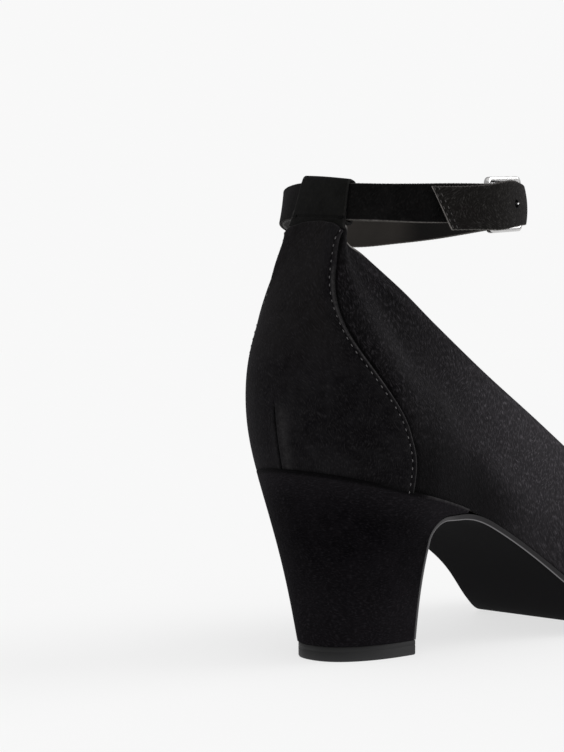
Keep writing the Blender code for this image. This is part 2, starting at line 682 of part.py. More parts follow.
def build_buckle(collection):
    silver = finish_material("buckle_silver", SILVER, 0.2, 1.0)
    rear, _, _ = ring_frame(np.array(REAR_BAR))
    front, _, _ = ring_frame(np.array(FRONT_BAR))
    height = ROUTE[0].height + FRAME_RISE
    length = np.linalg.norm(front - rear)
    run = np.append((front - rear) / length, 0.0)
    centre = np.append((rear + front) / 2, height) - FRAME_SLACK * run
    tilt = math.radians(FRAME_TILT)
    across = math.cos(tilt) * UP - math.sin(tilt) * run
    run = math.cos(tilt) * run + math.sin(tilt) * UP
    points = []
    for k, (right, high) in enumerate(((1, 1), (-1, 1), (-1, -1), (1, -1))):
        for turn in np.linspace(0.0, math.pi / 2, 4) + k * math.pi / 2:
            level = right * (length / 2 - FRAME_CORNER) + FRAME_CORNER * math.cos(turn)
            upright = high * (FRAME_HALF - FRAME_CORNER) + FRAME_CORNER * math.sin(turn)
            points.append(centre + level * run + upright * across)
    wire("buckle_frame", points, BAR_RADIUS, True, silver, collection)
    straight = np.linspace(REAR_BAR + PRONG_ROOT, HOLE_ANGLE - PRONG_BEND, 4)
    places = np.append(straight, (HOLE_ANGLE, HOLE_ANGLE))
    strap_out, strap_height = route_values(np.array([HOLE_ANGLE - 360.0]))
    tip = strap_out[0] + STRAP_THICK / 2 + PRONG_RADIUS
    outs = np.append(np.full(len(straight), PRONG_OUT), (PRONG_OUT + PRONG_RADIUS, tip))
    point, out, _ = ring_frame(places)
    route = np.column_stack((point + out * outs[:, None], np.full(len(places), strap_height[0])))
    wire("buckle_prong", route, PRONG_RADIUS, False, silver, collection)


def build_shoe():
    clear_scene()
    shoe = new_collection("strap_pump")
    cutters = new_collection("strap_pump_cutters")
    build_upper(shoe)
    build_counter(shoe)
    build_insole(shoe)
    build_outsole(shoe)
    build_heel(shoe)
    build_top_piece(shoe)
    build_loop(shoe)
    build_strap(shoe, cutters)
    build_buckle(shoe)


build_shoe()
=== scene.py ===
import math
from collections import namedtuple

import bmesh
import bpy
import numpy as np
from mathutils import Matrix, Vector


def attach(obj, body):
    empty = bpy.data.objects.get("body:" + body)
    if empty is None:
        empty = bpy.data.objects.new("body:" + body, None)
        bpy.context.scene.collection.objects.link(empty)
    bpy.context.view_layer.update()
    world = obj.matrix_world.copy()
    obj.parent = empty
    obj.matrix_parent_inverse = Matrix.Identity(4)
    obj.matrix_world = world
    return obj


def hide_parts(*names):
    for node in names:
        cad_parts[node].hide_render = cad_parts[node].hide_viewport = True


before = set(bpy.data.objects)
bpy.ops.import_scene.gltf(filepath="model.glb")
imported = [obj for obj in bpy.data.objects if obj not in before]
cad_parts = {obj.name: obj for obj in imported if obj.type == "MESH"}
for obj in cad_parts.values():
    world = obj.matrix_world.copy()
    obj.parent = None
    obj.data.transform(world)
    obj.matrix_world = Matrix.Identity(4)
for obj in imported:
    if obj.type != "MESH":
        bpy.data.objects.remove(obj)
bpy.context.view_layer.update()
print("frame loaded")

# The shoe is worked out in millimetres from the back of the last's seat, as the CAD is.
millimetre = 0.001
upright = np.array((0.0, 0.0, 1.0))
mergeDistance = 3e-6         # metres, for points that fall together

last = {
    "length": 234.0,
    "ballWidth": 74.0,
    "heelHeight": 61.5,      # floor to the back of the seat
    "tabHeight": 140.0,
    "throatHeight": 43.2,
    "toeSwing": 7.0,
    "toeSpring": 9.0,
    "heelCentre": 27.1,      # seat back to the middle of the heel's floor face
    "gap": 0.3,
    "wall": 1.6,
    "seatEnd": 43.0,
    "seatFall": 0.2435,
    "shankReach": 50.0,
    "ballReach": 19.0,
    "treadStart": 139.0,
    "treadEnd": 166.0,
    "soleThick": 2.7,
    "shankThick": 2.0,
    "shankFade": 50.0,
    "featherSpread": 0.2,
    "toplineSpread": 8.0,
    "shankSteps": 120,
    "probeAt": 0.3,          # steps round and up the wall that give its directions
    "probeUp": 0.002,
}

# along and topAlong are shares of the length, outer, inner and topHalf of the ball width
sectionRow = namedtuple("sectionRow", "along outer inner topAlong topHalf topRise flare arch rise tilt run")
sections = (
    sectionRow(0.000, 0.000, 0.000, 0.0590, 0.000, 1.000, 14, 0, 38, 21, 33),
    sectionRow(0.035, 0.262, 0.258, 0.0591, 0.083, 1.000, 16, 0, 39, 23, 34),
    sectionRow(0.075, 0.345, 0.340, 0.0590, 0.141, 0.995, 18, 0, 39, 25, 36),
    sectionRow(0.105, 0.374, 0.368, 0.0570, 0.140, 0.940, 18, 0, 38, 25, 36),
    sectionRow(0.140, 0.389, 0.376, 0.0835, 0.169, 0.891, 17, 0, 36, 22, 34),
    sectionRow(0.175, 0.388, 0.366, 0.130, 0.249, 0.784, 15, 1, 32, 17, 30),
    sectionRow(0.231, 0.372, 0.328, 0.177, 0.312, 0.671, 13, 5, 26, 13, 25),
    sectionRow(0.317, 0.362, 0.277, 0.257, 0.364, 0.517, 14, 10, 20, 11, 20),
    sectionRow(0.419, 0.382, 0.259, 0.364, 0.396, 0.345, 14, 11, 18, 13, 18),
    sectionRow(0.526, 0.450, 0.358, 0.479, 0.408, 0.170, 13, 5, 17, 24, 19),
    sectionRow(0.624, 0.514, 0.459, 0.586, 0.368, 0.057, 12, 0, 16, 45, 18),
    sectionRow(0.723, 0.504, 0.486, 0.659, 0.262, 0.010, 10, 0, 14, 60, 20),
    sectionRow(0.825, 0.419, 0.412, 0.695, 0.142, 0.000, 10, 0, 13, 66, 24),
    sectionRow(0.924, 0.250, 0.257, 0.708, 0.061, 0.000, 10, 0, 12, 70, 32),
    sectionRow(0.970, 0.142, 0.149, 0.7095, 0.027, 0.000, 10, 0, 12, 71, 37),
    sectionRow(1.000, 0.000, 0.000, 0.710, 0.000, 0.000, 10, 0, 12, 71, 40),
)
toeSection = len(sections) - 1


def toFrame(points):
    shift = np.array((last["heelCentre"], 0.0, 0.0))
    return (np.asarray(points, float) - shift) * millimetre


def smoothShare(value):
    share = np.clip(value, 0.0, 1.0)
    return share * share * (3.0 - 2.0 * share)


def bell(distance, width):
    return np.exp(-(distance / width) ** 2)


def bezier(start, first, second, end, share):
    rest = 1.0 - share
    return rest ** 3 * start + 3 * rest ** 2 * share * first + 3 * rest * share ** 2 * second + share ** 3 * end


def ramp(value, start, length):
    return smoothShare((value - start) / length)


def within(value, start, rise, end, fall):
    # 1 between start and end, with soft ends
    return ramp(value, start, rise) * smoothShare((end - value) / fall)


def unit(vectors):
    return vectors / np.linalg.norm(vectors, axis=-1, keepdims=True)


def runningLength(line):
    # distance along a line of points, at each of them
    return np.concatenate(([0.0], np.cumsum(np.linalg.norm(np.diff(line, axis=0), axis=1))))


def hermite(share, span, near, far, nearSlope, farSlope):
    return ((2 * share ** 3 - 3 * share ** 2 + 1) * near + (share ** 3 - 2 * share ** 2 + share) * span * nearSlope
            + (3 * share ** 2 - 2 * share ** 3) * far + (share ** 3 - share ** 2) * span * farSlope)


def smoothTable(knots, values, at):
    # smooth curve through the rows of an open table
    slopes = np.gradient(values, knots, axis=0)
    index = np.clip(np.searchsorted(knots, at, side="right") - 1, 0, len(knots) - 2)
    span = (knots[index + 1] - knots[index])[:, None]
    share = ((at - knots[index])[:, None]) / span
    return hermite(share, span, values[index], values[index + 1], slopes[index], slopes[index + 1])


def bottomLine(along):
    tread = last["soleThick"] + last["gap"] / 2
    seatEnd, fall = last["seatEnd"], last["seatFall"]
    seatEdge = last["heelHeight"] - fall * seatEnd
    share = np.linspace(0.0, 1.0, last["shankSteps"])
    ball = last["treadStart"]
    shankX = bezier(seatEnd, seatEnd + last["shankReach"], ball - last["ballReach"], ball, share)
    shankZ = bezier(seatEdge, seatEdge - fall * last["shankReach"], tread, tread, share)
    toe = np.clip((along - last["treadEnd"]) / (last["length"] - last["treadEnd"]), 0.0, None)
    seat = last["heelHeight"] - fall * along
    return np.where(along < seatEnd, seat, np.interp(along, shankX, shankZ)) + last["toeSpring"] * toe ** 2


def bottomSlope(along):
    return bottomLine(along + 0.5) - bottomLine(along - 0.5)


def middleLine(along):
    return last["toeSwing"] * smoothShare((along / last["length"] - 0.42) / 0.58)


def sectionLoop():
    # once round the shoe from the back: outer side, toe, inner side
    rows = []
    around = [(row, -1.0) for row in sections] + [(row, 1.0) for row in reversed(sections[1:-1])]
    for row, side in around:
        along, topAlong = row.along * last["length"], row.topAlong * last["length"]
        half = (row.outer if side < 0 else row.inner) * last["ballWidth"]
        flare = row.flare + (row.arch if side > 0 else 0.0)
        topZ = last["throatHeight"] + row.topRise * (last["tabHeight"] - last["throatHeight"])
        rows.append((along, middleLine(along) + side * half, bottomLine(along),
                     topAlong, middleLine(topAlong) + side * row.topHalf * last["ballWidth"], topZ,
                     flare, row.rise, row.tilt, row.run))
    return np.array(rows, float)


def loopKnots(rows):
    ahead = np.roll(rows, -1, axis=0)
    feather = np.linalg.norm(ahead[:, :3] - rows[:, :3], axis=1)
    topline = np.linalg.norm(ahead[:, 3:6] - rows[:, 3:6], axis=1)
    return np.concatenate(([0.0], np.cumsum((feather + topline) / 2)))


loopRows = sectionLoop()
knots = loopKnots(loopRows)
loopLength = knots[-1]


def roundLoop(at):
    at = np.mod(at, loopLength)
    spans = np.diff(knots)
    count = len(spans)
    steps = (np.roll(loopRows, -1, axis=0) - loopRows) / spans[:, None]
    before, beforeSpan = np.roll(steps, 1, axis=0), np.roll(spans, 1)
    slopes = (steps * beforeSpan[:, None] + before * spans[:, None]) / (spans + beforeSpan)[:, None]
    index = np.clip(np.searchsorted(knots, at, side="right") - 1, 0, count - 1)
    span = spans[index][:, None]
    share = ((at - knots[index]) / spans[index])[:, None]
    far = (index + 1) % count
    return hermite(share, span, loopRows[index], loopRows[far], slopes[index], slopes[far])


def fromBack(at):
    # distance round the loop from the middle of the back, below zero on the inner side
    return np.mod(at + loopLength / 2, loopLength) - loopLength / 2


def planNormals(at, first, spread):
    # level directions out of the feather line (first column 0) or the topline (3)
    run = unit(roundLoop(at + spread)[:, first:first + 2] - roundLoop(at - spread)[:, first:first + 2])
    return np.stack((run[:, 1], -run[:, 0], np.zeros(len(run))), axis=1)


def lastPoints(at, share):
    # points of the last at distances round the loop and shares up the wall, of any like shape
    at, share = np.broadcast_arrays(np.asarray(at, float), np.asarray(share, float))
    shape = at.shape
    at, share = at.ravel(), share.ravel()[:, None]
    rows = roundLoop(at)
    foot, top = rows[:, :3], rows[:, 3:6]
    flare, rise, tilt, run = (rows[:, [i]] for i in range(6, 10))
    flare, tilt = np.radians(flare), np.radians(tilt)
    out = planNormals(at, 0, last["featherSpread"])
    start = np.sin(flare) * out + np.cos(flare) * upright
    rim = np.maximum(bottomLine(foot[:, 0]), bottomLine(foot[:, 0] + last["wall"] * out[:, 0]))
    foot[:, 2] = rim + last["gap"] / 2 + last["wall"] * np.sin(flare[:, 0])
    finish = -np.sin(tilt) * planNormals(at, 3, last["toplineSpread"]) + np.cos(tilt) * upright
    return bezier(foot, foot + rise * start, top - run * finish, top, share).reshape(*shape, 3)


def lastTangents(at, share):
    # directions out of the wall and up it
    stepAt, stepUp = last["probeAt"], last["probeUp"]
    around = lastPoints(at + stepAt, share) - lastPoints(at - stepAt, share)
    upWall = lastPoints(at, share + stepUp) - lastPoints(at, share - stepUp)
    return unit(np.cross(around, upWall)), unit(upWall)


def offLast(at, share, lift):
    at, share = np.broadcast_arrays(np.asarray(at, float), np.asarray(share, float))
    out, _ = lastTangents(at, share)
    return lastPoints(at, share) + out * np.broadcast_to(lift, at.shape)[..., None]


# Materials

def newFinish(name):
    material = bpy.data.materials.new(name)
    material.use_nodes = True
    tree = material.node_tree
    return material, tree, tree.nodes["Principled BSDF"]


def feed(tree, node, inputs):
    # a socket is linked, a plain value is set
    for key, value in inputs.items():
        if isinstance(value, bpy.types.NodeSocket):
            tree.links.new(value, node.inputs[key])
        else:
            node.inputs[key].default_value = value


def addNode(tree, kind, inputs=None, **settings):
    node = tree.nodes.new(kind)
    for key, value in settings.items():
        setattr(node, key, value)
    feed(tree, node, inputs or {})
    return node


def placeOf(tree):
    return addNode(tree, "ShaderNodeTexCoord").outputs["Object"]


def toneOf(tree, label):
    # a tone that skinPiece stores on the mesh
    return addNode(tree, "ShaderNodeAttribute", attribute_name=label).outputs["Fac"]


def noiseOf(tree, vector, scale, detail=2.0, rough=0.55):
    return addNode(tree, "ShaderNodeTexNoise", {"Vector": vector, "Scale": scale, "Detail": detail,
                                                "Roughness": rough}).outputs["Fac"]


def rangeOf(tree, value, low, high, toLow=0.0, toHigh=1.0):
    return addNode(tree, "ShaderNodeMapRange", {"Value": value, "From Min": low, "From Max": high,
                                                "To Min": toLow, "To Max": toHigh}).outputs["Result"]


def mathOf(tree, operation, first, second):
    return addNode(tree, "ShaderNodeMath", {0: first, 1: second}, operation=operation).outputs[0]


def opaque(colour):
    return (*colour, 1.0) if isinstance(colour, tuple) else colour


def tintOf(tree, share, first, second):
    return addNode(tree, "ShaderNodeMix", {0: share, 6: opaque(first), 7: opaque(second)},
                   data_type="RGBA").outputs[2]


def bumpOf(tree, height, strength, depth, under=None):
    inputs = {"Height": height, "Strength": strength, "Distance": depth}
    if under:
        inputs["Normal"] = under
    return addNode(tree, "ShaderNodeBump", inputs).outputs["Normal"]


suedeLook = {
    "patchScale": 60.0,
    "mottleScale": 280.0,
    "clumpScale": 900.0,
    "swayScale": 160.0,
    "sway": 0.004,
    "turns": (10.0, -14.0),      # the nap lies two ways, by patches
    "layCut": (0.50, 0.60),      # noise levels between which one way gives in to the other
    "fibreAcross": 2600.0,
    "fibreAlong": 800.0,
    "fibreCut": (0.47, 0.69),
    "blotchShare": (0.55, 0.45),     # of patches and mottle
    "blotchCut": (0.40, 0.62),
    "clumpCut": (0.36, 0.66),
    "clumpLeast": 0.15,
    "frayCut": (0.35, 0.65),
    "frayLeast": 0.45,
    "fleck": 0.75,               # share of light fibres where the tone for brushed nap and painted light is nil
    "bump": 0.38,
    "clumpBump": 0.6,
    "fibreDepth": 0.0003,
    "clumpDepth": 0.0005,
    "roughCut": (0.3, 0.75),
    "rough": (0.98, 0.85),
    "gloss": 0.03,
    "dark": (0.0032, 0.0028, 0.0034),
    "mid": (0.0082, 0.0077, 0.0085),
    "light": (0.022, 0.0205, 0.022),
    # colour for brushed nap, and for painted light on the quarter
    "brushed": (0.0120, 0.0108, 0.0100),
    # colour of cut edges, and of painted highlights along rims
    "edge": (0.13, 0.125, 0.125),
    # colour of painted shade in dips, seams, stitch troughs and at the foot
    "sunk": (0.0012, 0.0011, 0.0012),
    "sheen": 0.03,
    "sheenRough": 0.5,
    "sheenTint": (0.85, 0.82, 0.88),
}
quarterLook = dict(
    suedeLook, turns=(24.0, -6.0), fibreAcross=2200.0, fibreAlong=520.0, bump=0.5, fleck=0.30, sheen=0.04,
    dark=(0.0026, 0.0023, 0.0027), mid=(0.0060, 0.0055, 0.0061), light=(0.095, 0.088, 0.097),
    brushed=(0.0210, 0.0195, 0.0216), edge=(0.34, 0.325, 0.31))
heelLook = dict(
    suedeLook, turns=(6.0, -10.0), fleck=0.4, sheen=0.02, gloss=0.02, dark=(0.0015, 0.0012, 0.0017),
    mid=(0.0040, 0.0034, 0.0043), light=(0.021, 0.019, 0.022), brushed=(0.0070, 0.0062, 0.0073))
strapLook = dict(
    suedeLook, turns=(30.0, -25.0), patchScale=110.0, mottleScale=420.0, clumpScale=620.0, fleck=0.18,
    sway=0.002, sheen=0.025, dark=(0.0024, 0.0023, 0.0023), mid=(0.0050, 0.0048, 0.0048),
    light=(0.040, 0.038, 0.0365), brushed=(0.0085, 0.0078, 0.0073), edge=(0.34, 0.32, 0.305))
loopLook = dict(
    suedeLook, turns=(80.0, 100.0), bump=0.22, fleck=0.4, dark=(0.0046, 0.0046, 0.0043),
    mid=(0.0082, 0.0082, 0.0077), light=(0.016, 0.016, 0.015), edge=(0.16, 0.155, 0.15))


def suedeFinish(name, look):
    material, tree, shader = newFinish(name)
    place = placeOf(tree)
    strokes = addNode(tree, "ShaderNodeUVMap", uv_map="nap").outputs["UV"]
    patches, mottle, clumps = (noiseOf(tree, place, look[scale], 3.0, 0.6)
                               for scale in ("patchScale", "mottleScale", "clumpScale"))
    sway = addNode(tree, "ShaderNodeTexNoise", {"Vector": place, "Scale": look["swayScale"], "Detail": 1.0})
    swayed = addNode(tree, "ShaderNodeVectorMath", {0: sway.outputs["Color"], 1: (look["sway"],) * 3, 2: strokes},
                     operation="MULTIPLY_ADD").outputs["Vector"]
    combed = []
    for turn in look["turns"]:
        lay = addNode(tree, "ShaderNodeMapping", {
            "Vector": swayed, "Rotation": (0.0, 0.0, math.radians(turn)),
            "Scale": (1.0 / look["fibreAcross"], 1.0 / look["fibreAlong"], 1.0)}, vector_type="TEXTURE")
        combed.append(noiseOf(tree, lay.outputs["Vector"], 1.0, 2.0, 0.5))
    change = mathOf(tree, "SUBTRACT", combed[1], combed[0])
    fibres = mathOf(tree, "ADD", combed[0],
                    mathOf(tree, "MULTIPLY", rangeOf(tree, patches, *look["layCut"]), change))
    blotches = mathOf(tree, "ADD", *(mathOf(tree, "MULTIPLY", noise, share)
                                     for noise, share in zip((patches, mottle), look["blotchShare"])))
    ground = tintOf(tree, rangeOf(tree, blotches, *look["blotchCut"]), look["dark"], look["mid"])
    # tone for brushed nap, and for painted light on the quarter
    brushed = toneOf(tree, "brushed")
    ground = tintOf(tree, brushed, ground, look["brushed"])
    tufts = mathOf(tree, "MULTIPLY", rangeOf(tree, fibres, *look["fibreCut"]),
                   rangeOf(tree, clumps, *look["clumpCut"], look["clumpLeast"], 1.0))
    tufts = mathOf(tree, "MULTIPLY", tufts, rangeOf(tree, brushed, 0.0, 1.0, look["fleck"], 1.0))
    # cut edges, and painted highlights along rims
    frayedAndLit = mathOf(tree, "MULTIPLY", toneOf(tree, "rawEdge"),
                    rangeOf(tree, clumps, *look["frayCut"], look["frayLeast"], 1.0))
    cut = tintOf(tree, frayedAndLit, tintOf(tree, tufts, ground, look["light"]), look["edge"])
    fine = bumpOf(tree, fibres, look["bump"], look["fibreDepth"])
    feed(tree, shader, {
        # painted shade darkens the colour
        "Base Color": tintOf(tree, toneOf(tree, "sunk"), cut, look["sunk"]),
        "Roughness": rangeOf(tree, fibres, *look["roughCut"], *look["rough"]),
        "Normal": bumpOf(tree, clumps, look["bump"] * look["clumpBump"], look["clumpDepth"], fine),
        "Specular IOR Level": look["gloss"],
        "Sheen Weight": look["sheen"],
        "Sheen Roughness": look["sheenRough"],
        "Sheen Tint": opaque(look["sheenTint"]),
    })
    return material


leatherLook = {
    "grainScale": 900.0,
    "poreScale": 2600.0,
    "cloudScale": 45.0,
    "cloudCut": (0.3, 0.7),
    "rough": (0.55, 0.72),
    "grainBump": (0.25, 0.00015),    # strength and depth
    "poreBump": (0.2, 0.0001),
    "gloss": 0.15,
    "dark": (0.020, 0.0175, 0.0155),
    "pale": (0.040, 0.0355, 0.032),
    "edge": (0.50, 0.47, 0.43),
    # colour of painted shade
    "sunk": (0.0040, 0.0036, 0.0034),
}


def leatherFinish(name, look):
    material, tree, shader = newFinish(name)
    place = placeOf(tree)
    clouds = noiseOf(tree, place, look["cloudScale"], 4.0, 0.6)
    grain = addNode(tree, "ShaderNodeTexVoronoi", {"Vector": place, "Scale": look["grainScale"]}).outputs["Distance"]
    pores = noiseOf(tree, place, look["poreScale"])
    cloudedAndShaded = tintOf(tree, rangeOf(tree, clouds, *look["cloudCut"]), look["dark"], look["pale"])
    # painted shade on the lining
    cloudedAndShaded = tintOf(tree, toneOf(tree, "sunk"), cloudedAndShaded, look["sunk"])
    feed(tree, shader, {
        "Base Color": tintOf(tree, toneOf(tree, "rawEdge"), cloudedAndShaded, look["edge"]),
        "Roughness": rangeOf(tree, clouds, *look["cloudCut"], *look["rough"]),
        "Normal": bumpOf(tree, pores, *look["poreBump"], bumpOf(tree, grain, *look["grainBump"])),
        "Specular IOR Level": look["gloss"],
    })
    return material


soleLook = {
    "face": (0.0038, 0.0037, 0.0041),
    "scuffed": (0.0066, 0.0063, 0.0069),
    "edge": (0.20, 0.195, 0.20),
    "grainScale": 1500.0,
    "grainBump": (0.25, 0.00012),
    "cloudScale": 38.0,
    "scuffCut": (0.35, 0.7),
    "roughCut": (0.3, 0.7),
    "rough": (0.72, 0.87),
    "gloss": 0.02,
}
rubberLook = dict(soleLook, face=(0.011, 0.011, 0.0115), scuffed=(0.018, 0.018, 0.0188), edge=(0.040, 0.040, 0.042),
                  gloss=0.22, rough=(0.5, 0.65))


def soleFinish(name, look):
    material, tree, shader = newFinish(name)
    place = placeOf(tree)
    clouds = noiseOf(tree, place, look["cloudScale"], 4.0, 0.6)
    grain = noiseOf(tree, place, look["grainScale"], 3.0, 0.6)
    face = tintOf(tree, rangeOf(tree, clouds, *look["scuffCut"]), look["face"], look["scuffed"])
    feed(tree, shader, {
        "Base Color": tintOf(tree, toneOf(tree, "rawEdge"), face, look["edge"]),
        "Roughness": rangeOf(tree, clouds, *look["roughCut"], *look["rough"]),
        "Normal": bumpOf(tree, grain, *look["grainBump"]),
        "Specular IOR Level": look["gloss"],
    })
    return material


silverLook = {
    "streakScale": (900.0, 900.0, 5000.0),
    "cloudScale": 260.0,
    "dull": (0.50, 0.495, 0.49),
    "bright": (0.64, 0.635, 0.63),
    "scratchCut": (0.3, 0.75),
    "rough": (0.13, 0.30),
    "scratchBump": (0.08, 0.00005),
}


def silverFinish(name, look):
    material, tree, shader = newFinish(name)
    place = placeOf(tree)
    streaks = addNode(tree, "ShaderNodeMapping", {"Vector": place, "Scale": look["streakScale"]}).outputs["Vector"]
    scratches = noiseOf(tree, streaks, 1.0, 3.0, 0.6)
    clouds = noiseOf(tree, place, look["cloudScale"], 3.0)
    feed(tree, shader, {
        "Base Color": tintOf(tree, clouds, look["dull"], look["bright"]),
        "Roughness": rangeOf(tree, scratches, *look["scratchCut"], *look["rough"]),
        "Normal": bumpOf(tree, scratches, *look["scratchBump"]),
        "Metallic": 1.0,
    })
    return material


threadLook = {
    "lay": (0.5, 0.4, 0.3),
    "plyScale": 2600.0,
    "twist": 2.0,
    "rough": (0.62, 0.45),
    "plyBump": (0.4, 0.0001),
    "gloss": 0.08,
    "seam": ((0.072, 0.069, 0.071), (0.168, 0.161, 0.163)),      # dark and pale ply
    "tack": ((0.0012, 0.0012, 0.0012), (0.004, 0.004, 0.004)),
    "tail": ((0.035, 0.033, 0.033), (0.11, 0.105, 0.105)),
}


def threadFinish(kind, look):
    material, tree, shader = newFinish(kind + " thread")
    lay = addNode(tree, "ShaderNodeMapping", {"Vector": placeOf(tree), "Rotation": look["lay"]}).outputs["Vector"]
    ply = addNode(tree, "ShaderNodeTexWave", {"Vector": lay, "Scale": look["plyScale"],
                                              "Distortion": look["twist"]}).outputs["Fac"]
    feed(tree, shader, {
        "Base Color": tintOf(tree, ply, *look[kind]),
        "Roughness": rangeOf(tree, ply, 0.0, 1.0, *look["rough"]),
        "Normal": bumpOf(tree, ply, *look["plyBump"]),
        "Specular IOR Level": look["gloss"],
    })
    return material


quarterSuede = suedeFinish("quarter suede", quarterLook)
counterSuede = suedeFinish("counter suede", suedeLook)
loopSuede = suedeFinish("loop suede", loopLook)
strapSuedeSkin = suedeFinish("strap suede", strapLook)
heelSuede = suedeFinish("heel suede", heelLook)
liningLeather = leatherFinish("taupe lining", leatherLook)
soleResin = soleFinish("sole grey", soleLook)
topRubber = soleFinish("top rubber", rubberLook)
silverPlate = silverFinish("buckle silver", silverLook)
seamThread, tackThread, tailThread = (threadFinish(kind, threadLook) for kind in ("seam", "tack", "tail"))
print("materials ready")


# Mesh helpers

def newObject(name, data):
    made = bpy.data.objects.new(name, data)
    bpy.context.scene.collection.objects.link(made)
    return made


def shadeSmooth(mesh, crease):
    mesh.shade_smooth()
    mesh.set_sharp_from_angle(angle=math.radians(crease))


def gridFaces(along, across, closedAlong):
    # quads over a grid that is closed across, and the place of each corner on the nap map
    i, j = np.meshgrid(np.arange(along if closedAlong else along - 1), np.arange(across), indexing="ij")
    corners = ((i, j), (i + 1, j), (i + 1, j + 1), (i, j + 1))
    index = np.stack([(a % along) * across + b % across for a, b in corners], axis=-1).reshape(-1, 4)
    places = np.stack([a * (across + 1) + b for a, b in corners], axis=-1).reshape(-1, 4)
    return index, places


def napMap(points):
    # running lengths both ways over the grid, in metres
    wide = np.concatenate((points, points[:1]), axis=0)
    wide = np.concatenate((wide, wide[:, :1]), axis=1) * millimetre
    stepAlong = np.linalg.norm(np.diff(wide, axis=0), axis=2)
    stepAcross = np.linalg.norm(np.diff(wide, axis=1), axis=2)
    u = np.concatenate((np.zeros((1, wide.shape[1])), np.cumsum(stepAlong, axis=0)))
    v = np.concatenate((np.zeros((wide.shape[0], 1)), np.cumsum(stepAcross, axis=1)), axis=1)
    return np.stack((u, v), axis=-1).reshape(-1, 2)


def skinPiece(name, points, material, closedAlong=False, ends="none", crease=55.0, **tones):
    # points: a grid of millimetre places, closed across
    # ends: none, cap (one face) or seam (quads from front to back)
    # tones, from 0 to 1 over the grid, for the materials: the cut edge with painted highlights, painted shade, and
    # brushed nap with painted light
    points = np.asarray(points, float)
    along, across = points.shape[:2]
    faces, places = gridFaces(along, across, closedAlong)
    uvs = napMap(points)[places].reshape(-1, 2)
    extra = []
    if ends == "cap":
        extra = [list(range(across)), list(range((along - 1) * across, along * across))]
    if ends == "seam":
        for base in (0, (along - 1) * across):
            for j in range(across // 2 - 1):
                extra.append([base + j, base + j + 1, base + across - 2 - j, base + across - 1 - j])
    mesh = bpy.data.meshes.new(name)
    mesh.from_pydata(toFrame(points.reshape(-1, 3)).tolist(), [], faces.tolist() + extra)
    flat = np.zeros((len(mesh.loops), 2), np.float32)
    flat[:len(uvs)] = uvs
    mesh.uv_layers.new(name="nap").data.foreach_set("uv", flat.ravel())
    for label, values in tones.items():
        tone = mesh.attributes.new(label, "FLOAT", "POINT")
        tone.data.foreach_set("value", np.broadcast_to(values, (along, across)).astype(np.float32).ravel())
    body = bmesh.new()
    body.from_mesh(mesh)
    bmesh.ops.remove_doubles(body, verts=body.verts, dist=mergeDistance)
    bmesh.ops.recalc_face_normals(body, faces=body.faces)
    body.to_mesh(mesh)
    body.free()
    shadeSmooth(mesh, crease)
    mesh.materials.append(material)
    return newObject(name, mesh)


def settle(piece, slot, *nodes):
    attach(piece, "root")
    if nodes:
        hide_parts(*nodes)
    print("made", piece.name, len(piece.data.polygons), "faces")
    return piece


def applyModifiers(piece):
    # the evaluated result becomes the piece's own mesh
    bpy.context.view_layer.update()
    made = bpy.data.meshes.new_from_object(piece.evaluated_get(bpy.context.evaluated_depsgraph_get()))
    piece.modifiers.clear()
    piece.data = made
    return piece


# Counter: a suede overlay over the back that rises into the tab

edgeRow = namedtuple("edgeRow", "share reach")
swellRow = namedtuple("swellRow", "at share wide tall height")
counterLook = {
    "edge": (
        edgeRow(0.00, 29.7), edgeRow(0.10, 29.1), edgeRow(0.20, 27.1), edgeRow(0.32, 24.7),
        edgeRow(0.42, 23.3), edgeRow(0.50, 22.3), edgeRow(0.58, 21.5), edgeRow(0.66, 21.3),
        edgeRow(0.78, 21.7), edgeRow(0.90, 22.8), edgeRow(1.00, 22.8),
    ),
    "innerLess": 0.7,        # the tab reaches less far round on the inner side
    "footShare": -0.003,
    "topShare": 1.004,
    "topArch": 0.024,        # how far the tab's upper corners drop, as a share of the wall
    "topProud": 0.35,        # its upper edge over the loop's foot
    "under": 1.3,
    "edgeLift": 1.66,
    "lift": 3.0,
    "edgeRound": 0.8,
    "stitchInset": 1.5,
    "stitchMore": 0.6,       # further from the edge low down
    "innerInset": 0.9,
    "stitchTrough": 0.26,
    "dartTop": 84.7,         # height over the floor
    "dartDepth": 0.6,
    "rows": 120,
    "columns": 44,           # between the edge strip and the middle strip
    "height": 82.0,          # length of the back wall
    "topSteps": (0.0, 0.05, 0.15, 0.32, 0.55, 0.85, 1.2, 1.7, 2.4),      # rows under the upper edge
    "evenEnd": 3.2,
    "edgeSteps": (0.0, 0.04, 0.12, 0.25, 0.42, 0.62, 0.85, 1.05, 1.2, 1.35, 1.5, 1.65, 1.8, 1.95, 2.1, 2.25, 2.4, 2.6),
    "middleSteps": (1.9, 1.3, 0.9, 0.6, 0.38, 0.22, 0.1, 0.0),
    "puff": 0.10,            # between the edge and its stitches
    "dartLip": 0.14,
    "swellScale": 80.0,
    "swells": (              # soft forms by distance round the loop and share of the wall
        swellRow(9.0, 0.20, 7.0, 10.0, 0.25),
        swellRow(15.0, 0.30, 6.0, 9.0, -0.30),
        swellRow(-13.0, 0.27, 7.0, 11.0, -0.22),
    ),
    # painted highlights: along the rounded edge, on the top edge and on the dart's lip
    "rimTone": 0.26,
    "topTone": 0.04,
    "dartTone": 0.11,
    # lighter over the upper part and on the inner side
    "brushedTone": 0.30,
    "dartShade": 0.9,
    "stitchShade": 0.55,
    "footShade": 0.8,
    "threadProud": 0.10,
    "seamEnd": 0.8,          # its stitches stop this far under the upper edge
}


def counterReach(share):
    table = np.array(counterLook["edge"])
    return smoothTable(table[:, 0], table[:, 1:], np.clip(share, 0.0, 1.0))[:, 0]


def innerReach(share):
    return counterReach(share) - counterLook["innerLess"]


# Upper: a suede skin over a lining, both hollow, open at the collar and underneath

